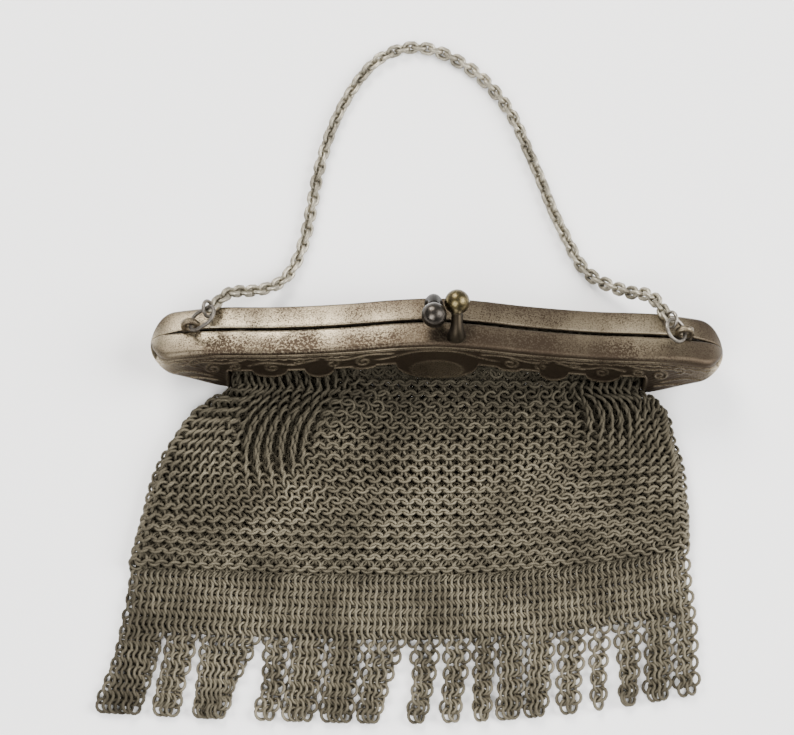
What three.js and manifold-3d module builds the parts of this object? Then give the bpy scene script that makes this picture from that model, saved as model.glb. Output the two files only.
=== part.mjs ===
// A small antique purse of metal ring mesh. It lies on a table with its frame standing and its chain
// spread behind. Millimetres. +Z is up, +X to the viewer's right and +Y away from the viewer.
import * as THREE from 'three';
import { mergeVertices } from 'three/addons/utils/BufferGeometryUtils.js';
import Module from 'manifold-3d';

const wasm = await Module();
wasm.setup();

// Frame: a hollow shell of thin sheet in two halves, with a gap between their ledges
const frameLength = 104.6;
const frameHeight = 15.7;
const frameDepth = 10.2;
const frameWall = 0.8;
const frameGap = 0.9;
const frameEndRound = 4.2;
const frameLean = THREE.MathUtils.degToRad(14);
const edgeRounding = 0.6;
const wallHeight = 6.2;
const legInnerInset = 14.4;
const beadInset = 0.9;
const beadWidth = 0.6;
const beadEndInset = 1;
const reliefHeight = 0.25;
const medallionWidth = 10.4;
const medallionHeight = 5.8;
const medallionBelowLedge = 8.1;

// Hinge rivets and the eyes that they pass through
const hingeHeight = 4.1;
const hingeBeyondLeg = 1;
const rivetRadius = 0.6;
const rivetHeadRadius = 1.1;
const rivetHeadThickness = 0.4;
const eyeRadius = 1.6;
const eyeThickness = 0.8;

// Clasp knobs
const knobBallRadius = 2.25;
const knobBallHeight = 3.8;
const knobBallCrossing = 1.5;
const knobRootInset = 1.7;
const knobBaseRadius = 1.6;
const knobNeckRadius = 1.02;
const knobFootRadius = 0.6;
const knobBendShare = 0.8;
const knobTaper = 1.3;
const frontKnobAcross = 3.3;
const knobSpacing = 4.1;

// Chain ears, rings and chain links
const earInset = 7.7;
const earRadius = 1.7;
const earHoleRadius = 0.85;
const earLift = 1.2;
const earThickness = 0.9;
const ringWire = 0.7;
const connectorWire = 0.65;
const connectorDiameter = 3.5;
const linkWire = 0.6;
const linkWidth = 2.2;
const linkLength = 3.4;
const linkNeck = 0.08;

// Mesh sack, band and fringe
const sackWall = 1.2;
const sackReach = 40;
const sackHalfWidth = 50;
const sackThickness = 4.2;
const sackMouthInset = 0.7;
const sackHollowShare = 0.9;
const sackLeastHollow = 0.5;
const foldRiseRight = 5.8;
const foldRiseLeft = 1;
const foldCrest = -10;
const gatherStart = 0.16;
const bandHeight = 10.3;
const fringeLength = 15.5;
const fringeThickness = 1.4;
const closedSlit = 0.35;
const slitWaist = 0.8;
const stripTuck = 1;
const stripTaper = 0.6;

// Smallest detail kept after joins and cuts
const metalDetail = 0.05;
const meshDetail = 0.07;

// Clearances
const fit = 0.3;
const earClearance = 0.3;

// Colours of the metals
const plateColour = 0x9a8d74;
const brassColour = 0x8c7a4c;
const darkColour = 0x5e554a;
const pinColour = 0x6f675a;
const ringColour = 0x7d7669;
const linkColour = 0x9b9484;
const sackColour = 0x6e6757;
const fringeColour = 0x7a7463;

// Frame outline, from the top centre round one end to the foot of the leg, as shares of half length and
// height
const outlineTable = [
  { across: 0, up: 1 },
  { across: 0.14, up: 0.96 },
  { across: 0.29, up: 0.876 },
  { across: 0.43, up: 0.815 },
  { across: 0.57, up: 0.775 },
  { across: 0.71, up: 0.762 },
  { across: 0.8, up: 0.742 },
  { across: 0.89, up: 0.69 },
  { across: 0.965, up: 0.6 },
  { across: 1, up: 0.45 },
  { across: 0.973, up: 0.32 },
  { across: 0.87, up: 0.165 },
  { across: 0.775, up: 0.04 },
  { across: 0.715, up: 0 },
];

// Lobes of the scalloped lower edge: place and width as shares of half length, drop as a share of the
// wall height
const lobeTable = [
  { across: 0, width: 0.28, drop: 0.82 },
  { across: 0.25, width: 0.08, drop: 0.14 },
  { across: 0.405, width: 0.1, drop: 0.42 },
  { across: 0.578, width: 0.12, drop: 0.34 },
];

// Place along the frame, as a share of half length, where its top levels out towards the ends
const shoulderAcross = 0.71;

// Sack from mouth to bottom fold. Inside the frame, up is a share of frame height, rise the share of the
// frame's curved top that the row follows, and half a share of the room between the walls. Outside it,
// down is a share of the reach, up and half shares of the sack's thickness, and left and right how far
// the sides have spread from the mouth's half width (0) to the sack's (1). Half is half the section's
// thickness, and turn the section's slope in degrees.
const mouthRows = [
  { up: 0.692, rise: 1, half: 1, turn: 14 },
  { up: 0.414, rise: 0.35, half: 1, turn: 14 },
  { up: 0.268, rise: 0, half: 0.977, turn: 16 },
];
const sackRows = [
  { down: 0.005, up: 0.821, half: 0.786, turn: 38, left: 0, right: 0 },
  { down: 0.08, up: 0.607, half: 0.607, turn: 66, left: 0, right: 0 },
  { down: 0.145, up: 0.55, half: 0.55, turn: 82, left: 0.03, right: 0.03 },
  { down: 0.18, up: 0.54, half: 0.54, turn: 88, left: 0.22, right: 0.22 },
  { down: 0.235, up: 0.53, half: 0.53, turn: 90, left: 0.47, right: 0.367 },
  { down: 0.385, up: 0.512, half: 0.512, turn: 90, left: 0.813, right: 0.477 },
  { down: 0.525, up: 0.5, half: 0.5, turn: 90, left: 1.03, right: 0.594 },
  { down: 0.71, up: 0.5, half: 0.5, turn: 90, left: 1.18, right: 0.641 },
  { down: 0.88, up: 0.47, half: 0.47, turn: 90, left: 1.289, right: 0.664 },
  { down: 0.965, up: 0.4, half: 0.4, turn: 90, left: 1.336, right: 0.664 },
  { down: 1, up: 0.28, half: 0.28, turn: 90, left: 1.344, right: 0.664 },
];

// Gather folds in the upper layer: place at the frame and where they die out, width and height
const foldTable = [
  { at: -0.62, foot: -0.86, reach: 0.6, width: 0.05, height: 0.16 },
  { at: -0.46, foot: -0.64, reach: 0.65, width: 0.05, height: 0.16 },
  { at: -0.3, foot: -0.42, reach: 0.55, width: 0.05, height: 0.14 },
  { at: 0.36, foot: 0.42, reach: 0.5, width: 0.05, height: 0.13 },
  { at: 0.54, foot: 0.64, reach: 0.6, width: 0.05, height: 0.15 },
];

// Sides of the band and fringe, as shares of the half width, by share of the length below the bottom fold
const hemTable = [
  { down: 0, left: 1.09, right: 0.914 },
  { down: 0.28, left: 1.104, right: 0.922 },
  { down: 0.55, left: 1.124, right: 0.934 },
  { down: 0.82, left: 1.164, right: 0.934 },
  { down: 1, left: 1.192, right: 0.934 },
];

// Slits between the strips of the fringe: share across at the band and at the hem, width at the hem as a
// share of the fringe's length. A closed slit is a thin line.
const slitTable = [
  { top: 0.078, hem: 0.087, width: 0.08 },
  { top: 0.137, hem: 0.151, width: 0.12 },
  { top: 0.247, hem: 0.238, width: 0.3 },
  { top: 0.297, hem: 0.306, width: 0 },
  { top: 0.359, hem: 0.367, width: 0 },
  { top: 0.424, hem: 0.428, width: 0 },
  { top: 0.5, hem: 0.493, width: 0.3 },
  { top: 0.559, hem: 0.56, width: 0.13 },
  { top: 0.611, hem: 0.614, width: 0.1 },
  { top: 0.654, hem: 0.657, width: 0.05 },
  { top: 0.702, hem: 0.706, width: 0 },
  { top: 0.756, hem: 0.756, width: 0.09 },
  { top: 0.811, hem: 0.809, width: 0.11 },
  { top: 0.8535, hem: 0.855, width: 0.16 },
  { top: 0.9066, hem: 0.902, width: 0.08 },
  { top: 0.959, hem: 0.955, width: 0 },
];

// Rings at each end: the jump ring's length and width, the direction from its middle to the ear's hole
// and the way it faces, then the connector ring's middle from the jump ring's and the way it faces, all
// across, through and up the frame, and last the chain's start from the connector's middle, in the
// purse's own axes
const ringTable = [
  {
    end: 1,
    long: 5,
    wide: 5,
    toHole: [0.818, 0.138, -0.558],
    facing: [0.571, -0.081, 0.817],
    toConnector: [-0.728, 2.177, 0.083],
    connectorFacing: [-0.834, -0.31, 0.457],
    toChain: [-0.268, 0.023, -0.386],
  },
  {
    end: -1,
    long: 6.5,
    wide: 4.6,
    toHole: [0.771, -0.106, -0.627],
    facing: [0.634, 0.051, 0.771],
    toConnector: [-0.925, 2.069, 0.074],
    connectorFacing: [-0.866, -0.162, 0.473],
    toChain: [-0.219, 0.068, -0.559],
  },
];

// Route of the chain from the right ring over the back of the frame, round on the table and back to the left
// ring. In the two leads across is measured from where the chain starts or ends, and all else from the
// middle of the frame.
const rightLead = [
  [-2.645, 11.2, 10.3],
  [-6.245, 13.8, 6],
  [-9.245, 16, 3.3],
  [-12.045, 18.2, 1.6],
];
const leftLead = [
  [12.019, 16.5, 2],
  [9.219, 14.2, 4],
  [6.219, 12.6, 6.6],
  [3.219, 10.9, 10.1],
];
const chainRoute = [
  [27.2, 21.3, 0.95],
  [24.6, 26.7, 0.87],
  [22.1, 32.5, 0.87],
  [19.9, 38.8, 0.87],
  [17.4, 45.2, 0.87],
  [15.1, 51.1, 0.87],
  [12.2, 56.1, 0.87],
  [7.9, 61.1, 0.87],
  [3.3, 64.5, 0.87],
  [-1.6, 66.6, 0.87],
  [-6.6, 66.7, 0.87],
  [-11.5, 64.3, 0.87],
  [-14.9, 60.5, 0.87],
  [-18.2, 54.7, 0.87],
  [-20.9, 47.8, 0.87],
  [-23, 39.2, 0.87],
  [-24.1, 31.8, 0.87],
  [-25.2, 25.4, 0.87],
  [-26.9, 20.2, 1],
];

const halfLength = frameLength / 2;
const halfDepth = frameDepth / 2;
const legInnerReach = halfLength - legInnerInset;

// A closed three.js geometry as a solid that can be joined and cut
function solid(geometry) {
  const bare = geometry.clone();
  bare.deleteAttribute('normal');
  bare.deleteAttribute('uv');
  const merged = mergeVertices(bare, 1e-4);
  return new wasm.Manifold(new wasm.Mesh({
    numProp: 3,
    vertProperties: new Float32Array(merged.attributes.position.array),
    triVerts: new Uint32Array(merged.index.array),
  }));
}

// A solid as a three.js geometry, without the slivers that joins and cuts leave
function surface(body, detail) {
  const mesh = body.asOriginal().simplify(detail).getMesh();
  const geometry = new THREE.BufferGeometry();
  geometry.setAttribute('position', new THREE.BufferAttribute(mesh.vertProperties, 3));
  geometry.setIndex(new THREE.BufferAttribute(mesh.triVerts, 1));
  geometry.computeVertexNormals();
  return geometry;
}

// A closed skin over rings of equal point count, with a flat fan at each end
function loft(rings) {
  const count = rings[0].length;
  const positions = rings.flat().flatMap((point) => [point.x, point.y, point.z]);
  const index = [];
  for (let row = 0; row + 1 < rings.length; row += 1) {
    for (let k = 0; k < count; k += 1) {
      const a = row * count + k;
      const b = row * count + (k + 1) % count;
      index.push(a, b, b + count, a, b + count, a + count);
    }
  }
  for (const [row, flip] of [[0, true], [rings.length - 1, false]]) {
    const centre = rings[row].reduce((sum, point) => sum.add(point), new THREE.Vector3()).divideScalar(count);
    const hub = positions.length / 3;
    positions.push(centre.x, centre.y, centre.z);
    for (let k = 0; k < count; k += 1) {
      const a = row * count + k;
      const b = row * count + (k + 1) % count;
      index.push(...(flip ? [hub, b, a] : [hub, a, b]));
    }
  }
  const geometry = new THREE.BufferGeometry();
  geometry.setAttribute('position', new THREE.Float32BufferAttribute(positions, 3));
  geometry.setIndex(index);
  return geometry;
}

// Frame outline as a smooth open line from the left leg over the top to the right leg
const rightControls = outlineTable.map(
  ({ across, up }) => new THREE.Vector2(across * halfLength, up * frameHeight),
);
const leftControls = rightControls.slice(1).reverse().map((point) => new THREE.Vector2(-point.x, point.y));
const outlineSteps = 2 * (leftControls.length + rightControls.length - 1);
const outline = new THREE.SplineCurve([...leftControls, ...rightControls]).getPoints(outlineSteps);

// The outline moved inwards by a distance, each point along the bisector of its two sides
function insetOutline(distance) {
  return outline.map((point, index) => {
    const before = outline[(index + outline.length - 1) % outline.length];
    const after = outline[(index + 1) % outline.length];
    const along = after.clone().sub(before).normalize();
    return new THREE.Vector2(point.x + along.y * distance, point.y - along.x * distance);
  });
}

const isUpper = (point) => point.y > frameHeight / 2;

// Height of the ledge at a place along the frame
function ledgeHeight(across) {
  const top = outline.filter(isUpper);
  const after = top.findIndex((point) => point.x > across);
  const a = top[after - 1];
  const b = top[after];
  return THREE.MathUtils.lerp(a.y, b.y, (across - a.x) / (b.x - a.x));
}

// A shape in length and height, thickened through the frame's depth between two places
function prismThroughDepth(points, near, far, rounding = 0) {
  const geometry = new THREE.ExtrudeGeometry(new THREE.Shape(points), {
    depth: far - near - 2 * rounding,
    bevelEnabled: rounding > 0,
    bevelThickness: rounding,
    bevelSize: rounding,
    bevelOffset: -rounding,
    bevelSegments: 1,
    curveSegments: 6,
  });
  geometry.translate(0, 0, rounding - far);
  geometry.rotateX(Math.PI / 2);
  return solid(geometry);
}

// The frame seen from above: straight sides with half-oval ends, thickened through its whole height
function planPrism(inset) {
  const radius = halfDepth - inset;
  const round = frameEndRound - inset;
  const straight = halfLength - frameEndRound;
  const plan = new THREE.Shape();
  plan.moveTo(-straight, -radius);
  plan.lineTo(straight, -radius);
  plan.absellipse(straight, 0, round, radius, -Math.PI / 2, Math.PI / 2, false);
  plan.lineTo(-straight, radius);
  plan.absellipse(-straight, 0, round, radius, Math.PI / 2, 1.5 * Math.PI, false);
  const settings = { depth: 3 * frameHeight, bevelEnabled: false, curveSegments: 6 };
  const geometry = new THREE.ExtrudeGeometry(plan, settings);
  geometry.translate(0, 0, -frameHeight);
  return solid(geometry);
}

// Scalloped lower edge of the walls: a fixed drop below the ledge, with half-oval lobes
function scallopedEdge() {
  const places = [];
  const perLobe = 4;
  for (const lobe of lobeTable) {
    for (const side of lobe.across > 0 ? [-1, 1] : [1]) {
      for (let k = 0; k <= perLobe; k += 1) {
        const angle = Math.PI * k / perLobe;
        const x = side * lobe.across * halfLength - 0.5 * lobe.width * halfLength * Math.cos(angle);
        places.push({ x, extra: lobe.drop * wallHeight * Math.sin(angle) });
      }
    }
  }
  places.push({ x: -legInnerReach, extra: 0 }, { x: legInnerReach, extra: 0 });
  places.sort((a, b) => a.x - b.x);
  return places.map(({ x, extra }) => new THREE.Vector2(x, ledgeHeight(x) - wallHeight - extra));
}

// The raised border line that follows the ledge on a wall
function borderBead(near, far) {
  const reach = halfLength - frameEndRound - beadEndInset;
  const keep = (point) => isUpper(point) && Math.abs(point.x) < reach;
  const upper = insetOutline(beadInset);
  const lower = insetOutline(beadInset + beadWidth);
  return prismThroughDepth([...upper.filter(keep), ...lower.filter(keep).reverse()], near, far);
}

// The raised oval medallion at the middle of a wall
function medallion(near, far) {
  const oval = new THREE.Shape();
  const middle = frameHeight - medallionBelowLedge;
  oval.absellipse(0, middle, medallionWidth / 2, medallionHeight / 2, 0, 2 * Math.PI);
  return prismThroughDepth(oval.getPoints(7), near, far);
}

// An upright round post through the ledge at a place along and across the frame
function post(across, through, bottom, top, radius, sides) {
  const geometry = new THREE.CylinderGeometry(radius, radius, top - bottom, sides);
  geometry.rotateX(Math.PI / 2);
  geometry.translate(across, through, (top + bottom) / 2);
  return solid(geometry);
}

// A hinge eye: a plate with a round end about the hinge line, reaching back to its own wall
function hingeEye(nearX, facing) {
  const eye = new THREE.Shape();
  const root = halfDepth - frameWall / 2;
  eye.moveTo(0, hingeHeight - eyeRadius);
  eye.absarc(0, hingeHeight, eyeRadius, -Math.PI / 2, Math.PI / 2, false);
  eye.lineTo(-root, hingeHeight + eyeRadius);
  eye.lineTo(-root, hingeHeight - eyeRadius);
  const hole = new THREE.Path();
  hole.absarc(0, hingeHeight, rivetRadius + fit, 0, 2 * Math.PI, true);
  eye.holes.push(hole);
  const settings = { depth: eyeThickness, bevelEnabled: false, curveSegments: 5 };
  const geometry = new THREE.ExtrudeGeometry(eye, settings);
  geometry.rotateX(Math.PI / 2);
  geometry.rotateZ(Math.PI / 2);
  if (facing > 0) {
    geometry.rotateZ(Math.PI);
  }
  geometry.computeBoundingBox();
  geometry.translate(nearX - geometry.boundingBox.min.x, 0, 0);
  return solid(geometry);
}

// A pierced ear that stands in the gap and carries a jump ring, soldered to the back half
function chainEar(across) {
  const ledge = ledgeHeight(across);
  const holeHeight = ledge + earLift;
  const foot = ledge - 2 * frameWall;
  const ear = new THREE.Shape();
  ear.moveTo(across + earRadius, foot);
  ear.absarc(across, holeHeight, earRadius, 0, Math.PI, false);
  ear.lineTo(across - earRadius, foot);
  const hole = new THREE.Path();
  hole.absarc(across, holeHeight, earHoleRadius, 0, 2 * Math.PI, true);
  ear.holes.push(hole);
  const near = -frameGap / 2 + earClearance;
  const settings = { depth: earThickness, bevelEnabled: false, curveSegments: 6 };
  const geometry = new THREE.ExtrudeGeometry(ear, settings);
  geometry.translate(0, 0, -near - earThickness);
  geometry.rotateX(Math.PI / 2);
  return solid(geometry);
}

const earAcross = halfLength - earInset;
const hingeAcross = legInnerReach + hingeBeyondLeg;
const knobRoot = halfDepth - knobRootInset;
const knobs = {
  front: { across: frontKnobAcross, side: -1 },
  back: { across: frontKnobAcross - knobSpacing, side: 1 },
};

// One half of the frame. Side is -1 for the front half and 1 for the back half.
function frameHalf(side, knob) {
  const shell = prismThroughDepth(outline, -halfDepth, halfDepth, edgeRounding)
    .intersect(planPrism(0))
    .subtract(prismThroughDepth(insetOutline(frameWall), -halfDepth + frameWall, halfDepth - frameWall)
      .intersect(planPrism(frameWall)));
  const edge = scallopedEdge();
  const below = -frameHeight;
  const mouth = [new THREE.Vector2(-legInnerReach, below), ...edge, new THREE.Vector2(legInnerReach, below)];
  const slab = new THREE.BoxGeometry(2 * frameLength, frameDepth, 4 * frameHeight);
  slab.translate(0, side * (frameGap / 2 + frameDepth / 2), 0);
  const wallFace = [halfDepth - frameWall / 2, halfDepth + reliefHeight];
  const near = side < 0 ? -wallFace[1] : wallFace[0];
  const far = side < 0 ? -wallFace[0] : wallFace[1];
  let half = shell.subtract(prismThroughDepth(mouth, -frameDepth, frameDepth)).intersect(solid(slab));
  half = half.add(borderBead(near, far)).add(medallion(near, far));
  const ledge = ledgeHeight(knob.across);
  half = half.subtract(
    post(knob.across, side * knobRoot, ledge - 2 * frameWall, ledge + frameWall, knobFootRadius + fit, 8),
  );
  for (const end of [-1, 1]) {
    const outerEye = side > 0;
    const offset = outerEye ? eyeThickness + fit : 0;
    const nearX = end > 0 ? hingeAcross + offset : -hingeAcross - offset - eyeThickness;
    half = half.add(hingeEye(nearX, side));
    if (side > 0) {
      half = half.add(chainEar(end * earAcross));
    }
  }
  return surface(half, metalDetail);
}

// A rivet along the frame, with a flat head outside each pair of eyes
function hingeRivet() {
  const shank = 2 * eyeThickness + 3 * fit;
  const length = shank + 2 * rivetHeadThickness;
  const profile = [
    [0, 0],
    [rivetHeadRadius, 0],
    [rivetHeadRadius, rivetHeadThickness],
    [rivetRadius, rivetHeadThickness],
    [rivetRadius, length - rivetHeadThickness],
    [rivetHeadRadius, length - rivetHeadThickness],
    [rivetHeadRadius, length],
    [0, length],
  ].map(([radius, along]) => new THREE.Vector2(radius, along - length / 2));
  const geometry = new THREE.LatheGeometry(profile, 8);
  geometry.rotateZ(-Math.PI / 2);
  return geometry;
}

// A clasp knob: a post that rises from its own ledge, bends across the gap and ends in a ball
function claspKnob(knob) {
  const ledge = ledgeHeight(knob.across);
  const root = new THREE.Vector3(knob.across, knob.side * knobRoot, ledge + fit);
  const ball = new THREE.Vector3(knob.across, -knob.side * knobBallCrossing, ledge + knobBallHeight);
  const bend = new THREE.Vector3(knob.across, knob.side * knobRoot, ledge + knobBendShare * knobBallHeight);
  const spine = new THREE.QuadraticBezierCurve3(root, bend, ball);
  const stations = 6;
  const sides = 8;
  const rings = [];
  for (let k = 0; k <= stations; k += 1) {
    const share = k / stations;
    const centre = spine.getPoint(share);
    const along = spine.getTangent(share);
    const acrossAxis = new THREE.Vector3(1, 0, 0);
    const lift = new THREE.Vector3().crossVectors(along, acrossAxis);
    const radius = THREE.MathUtils.lerp(knobBaseRadius, knobNeckRadius, Math.min(1, knobTaper * share));
    const ring = [];
    for (let j = 0; j < sides; j += 1) {
      const angle = 2 * Math.PI * j / sides;
      ring.push(centre.clone()
        .addScaledVector(acrossAxis, radius * Math.cos(angle))
        .addScaledVector(lift, radius * Math.sin(angle)));
    }
    rings.push(ring);
  }
  const globe = new THREE.SphereGeometry(knobBallRadius, 12, 8);
  globe.rotateX(Math.PI / 2);
  globe.translate(ball.x, ball.y, ball.z);
  const foot = post(knob.across, knob.side * knobRoot, ledge - frameWall, ledge + 2 * fit, knobFootRadius, 8);
  return surface(solid(loft(rings)).add(solid(globe)).add(foot), metalDetail);
}

// The frame leans back and stands with the feet of its legs on the table
const purse = new THREE.Group();
const frame = new THREE.Group();
frame.rotation.x = -frameLean;
purse.add(frame);

function finish(colour, roughness) {
  return new THREE.MeshStandardMaterial({ color: colour, roughness, metalness: 1 });
}

function addPiece(parent, name, geometry, material) {
  const piece = new THREE.Mesh(geometry, material);
  piece.name = name;
  parent.add(piece);
  return piece;
}

addPiece(frame, 'frame_front', frameHalf(-1, knobs.front), finish(plateColour, 0.45));
addPiece(frame, 'frame_back', frameHalf(1, knobs.back), finish(plateColour, 0.45));
const frameLift = -new THREE.Box3().setFromObject(purse, true).min.z;
frame.position.z = frameLift;
addPiece(frame, 'clasp_knob_front', claspKnob(knobs.front), finish(brassColour, 0.4));
addPiece(frame, 'clasp_knob_back', claspKnob(knobs.back), finish(darkColour, 0.45));
for (const [name, end] of [['hinge_pin_left', -1], ['hinge_pin_right', 1]]) {
  const pin = addPiece(frame, name, hingeRivet(), finish(pinColour, 0.5));
  pin.position.set(end * (hingeAcross + eyeThickness + fit / 2), 0, hingeHeight);
}

// A point given along, up and through the leaning frame, in the purse's own axes
function fromFrame(across, up, through) {
  return new THREE.Vector3(
    across,
    up * Math.sin(frameLean) + through * Math.cos(frameLean),
    frameLift + up * Math.cos(frameLean) - through * Math.sin(frameLean),
  );
}

// Depth of the bottom fold below the frame: it rises towards both sides
function foldDepth(x) {
  const rise = x > foldCrest ? foldRiseRight : foldRiseLeft;
  const side = sackHalfWidth * (x > foldCrest ? hemTable[0].right : -hemTable[0].left);
  return sackReach - rise * ((x - foldCrest) / (side - foldCrest)) ** 2;
}

// Height of the gather folds at a share across and a share down the sack
function gather(acrossShare, downShare) {
  let height = 0;
  for (const fold of foldTable) {
    if (downShare < fold.reach) {
      const place = THREE.MathUtils.lerp(fold.at, fold.foot, downShare / fold.reach);
      const fade = Math.cos(0.5 * Math.PI * downShare / fold.reach);
      height += fold.height * fade * Math.exp(-(((acrossShare - place) / fold.width) ** 2));
    }
  }
  return height * sackThickness;
}

// The sack's sections from mouth to fold. Inset is the wall that is taken off for the hollow.
function sackSections(inset) {
  const insideHalf = halfDepth - frameWall - fit;
  const mouthHalfWidth = legInnerReach - sackMouthInset;
  const sideOf = (share) => THREE.MathUtils.lerp(mouthHalfWidth, sackHalfWidth, share) - inset;
  const inside = mouthRows.map((row) => ({
    row,
    inFrame: true,
    half: row.half * insideHalf - inset,
    left: mouthHalfWidth - inset,
    right: mouthHalfWidth - inset,
  }));
  const outside = sackRows.map((row) => ({
    row,
    inFrame: false,
    half: row.half * sackThickness - inset,
    left: sideOf(row.left),
    right: sideOf(row.right),
  }));
  return [...inside, ...outside];
}

// Places round a flattened section: straight top and bottom with half-round sides, as side, share across
// and angle
const topSteps = 30;
const bottomSteps = 6;
const sideSteps = 3;
function sectionPlaces() {
  const places = [];
  for (let k = 0; k <= topSteps; k += 1) {
    places.push({ part: 'top', share: 1 - 2 * k / topSteps });
  }
  for (let k = 1; k < sideSteps; k += 1) {
    places.push({ part: 'side', end: -1, angle: Math.PI * k / sideSteps });
  }
  for (let k = 0; k <= bottomSteps; k += 1) {
    places.push({ part: 'bottom', share: -1 + 2 * k / bottomSteps });
  }
  for (let k = 1; k < sideSteps; k += 1) {
    places.push({ part: 'side', end: 1, angle: Math.PI * (1 - k / sideSteps) });
  }
  return places;
}

// One section of the sack as a ring of points
function sackRing(section, withFolds) {
  const { row, half, left, right } = section;
  const turn = THREE.MathUtils.degToRad(row.turn);
  return sectionPlaces().map((place) => {
    const middle = (right - left) / 2;
    const straight = (right + left) / 2 - half;
    let x = middle;
    let out = 0;
    if (place.part === 'side') {
      x += place.end * (straight + half * Math.sin(place.angle));
      out = half * Math.cos(place.angle);
    } else {
      x += place.share * straight;
      out = place.part === 'top' ? half : -half;
    }
    if (withFolds && place.part === 'top' && !section.inFrame) {
      out += Math.min(1, row.down / gatherStart) * gather(x / sackHalfWidth, row.down);
    }
    let centre;
    if (section.inFrame) {
      const crown = ledgeHeight(x) - ledgeHeight(shoulderAcross * halfLength);
      centre = fromFrame(0, row.up * frameHeight + row.rise * crown, 0);
    } else {
      const skew = foldDepth(x) / sackReach;
      centre = new THREE.Vector3(0, -row.down * sackReach * skew, row.up * sackThickness);
    }
    return new THREE.Vector3(x, centre.y - out * Math.cos(turn), centre.z + out * Math.sin(turn));
  });
}

// The hollow sack, open at its mouth inside the frame
function sack() {
  const outerRows = sackSections(0);
  const innerRows = sackSections(sackWall).filter(
    ({ half, row, inFrame }) => 2 * half > sackLeastHollow && (inFrame || row.down < sackHollowShare),
  );
  const outer = outerRows.map((section) => sackRing(section, true));
  const inner = innerRows.map((section) => sackRing(section, false));
  const above = inner[0].map((point) => point.clone().add(fromFrame(0, 1, 0)).sub(fromFrame(0, 0, 0)));
  return surface(solid(loft(outer)).subtract(solid(loft([above, ...inner]))), meshDetail);
}

// Sides of the band and fringe at a share down from the fold, by straight steps through the table
function hemSides(downShare) {
  const after = Math.max(1, hemTable.findIndex((row) => row.down >= downShare - 1e-9));
  const a = hemTable[after - 1];
  const b = hemTable[after];
  const share = (downShare - a.down) / (b.down - a.down);
  return {
    left: -sackHalfWidth * THREE.MathUtils.lerp(a.left, b.left, share),
    right: sackHalfWidth * THREE.MathUtils.lerp(a.right, b.right, share),
  };
}

// A point of the band or fringe on the table: share across, and distance down from the bottom fold
const meshBelowFold = bandHeight + fringeLength;
function hemPoint(acrossShare, below, shift = 0) {
  const { left, right } = hemSides(below / meshBelowFold);
  const x = THREE.MathUtils.lerp(left, right, acrossShare) + shift;
  return new THREE.Vector2(x, -(foldDepth(x) + fit + below));
}

// A flat piece of mesh lying on the table
function flatPiece(points, thickness) {
  return solid(new THREE.ExtrudeGeometry(new THREE.Shape(points), { depth: thickness, bevelEnabled: false }));
}

// The band with its strips, fused into one piece
function fringe() {
  const columns = 22;
  const halfway = bandHeight + fringeLength / 2;
  const gapOf = (cut) => Math.max(cut.width * fringeLength, closedSlit) / 2;
  const upper = [];
  const lower = [];
  for (let k = 0; k <= columns; k += 1) {
    upper.push(hemPoint(k / columns, 0));
    lower.push(hemPoint(k / columns, bandHeight));
  }
  let body = flatPiece([...lower, ...upper.reverse()], fringeThickness);
  const cuts = [{ top: 0, hem: 0, width: 0 }, ...slitTable, { top: 1, hem: 1, width: 0 }];
  for (let k = 0; k + 1 < cuts.length; k += 1) {
    const near = cuts[k];
    const far = cuts[k + 1];
    const nearGap = k === 0 ? 0 : gapOf(near);
    const farGap = k + 2 === cuts.length ? 0 : gapOf(far);
    const points = [
      hemPoint(near.top, bandHeight - stripTuck, Math.min(nearGap, closedSlit)),
      hemPoint((near.top + near.hem) / 2, halfway, slitWaist * nearGap),
      hemPoint(near.hem, meshBelowFold - stripTaper, nearGap),
      hemPoint(near.hem, meshBelowFold, nearGap + stripTaper),
      hemPoint(far.hem, meshBelowFold, -farGap - stripTaper),
      hemPoint(far.hem, meshBelowFold - stripTaper, -farGap),
      hemPoint((far.top + far.hem) / 2, halfway, -slitWaist * farGap),
      hemPoint(far.top, bandHeight - stripTuck, -Math.min(farGap, closedSlit)),
    ];
    body = body.add(flatPiece(points, fringeThickness));
  }
  return surface(body, meshDetail);
}

// Sides round a link and round its wire. The wire has a flat on the inner side, and the link a flat at
// each end.
const linkSides = 10;
const wireSides = 5;
const innerFlat = Math.floor(wireSides / 2);
const linkBend = (linkWidth - linkWire) / 2;
const linkStretch = (linkLength - linkWidth) / 2;
const endFlatReach = linkStretch
  + (linkBend - 0.5 * linkWire * Math.cos(Math.PI / wireSides)) * Math.cos(Math.PI / linkSides);

// One link as a grid of points round the link and round its wire, about a centre and three directions
function linkPoints(centre, along, width, normal) {
  const points = [];
  for (let i = 0; i < linkSides; i += 1) {
    const turn = 2 * Math.PI * (i + 0.5) / linkSides;
    const stretch = Math.abs(Math.cos(turn)) > 0.1 ? Math.sign(Math.cos(turn)) * linkStretch : 0;
    for (let j = 0; j < wireSides; j += 1) {
      const roll = 2 * Math.PI * j / wireSides;
      const radius = linkBend + 0.5 * linkWire * Math.cos(roll);
      points.push(centre.clone()
        .addScaledVector(along, radius * Math.cos(turn) + stretch)
        .addScaledVector(width, radius * Math.sin(turn))
        .addScaledVector(normal, 0.5 * linkWire * Math.sin(roll)));
    }
  }
  return points;
}

// The corners of one facet of a link, counted round it from outside
function facet(base, i, j) {
  const nextI = (i + 1) % linkSides;
  const nextJ = (j + 1) % wireSides;
  const corner = (round, wire) => base + round * wireSides + wire;
  return [corner(i, j), corner(nextI, j), corner(nextI, nextJ), corner(i, nextJ)];
}

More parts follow.
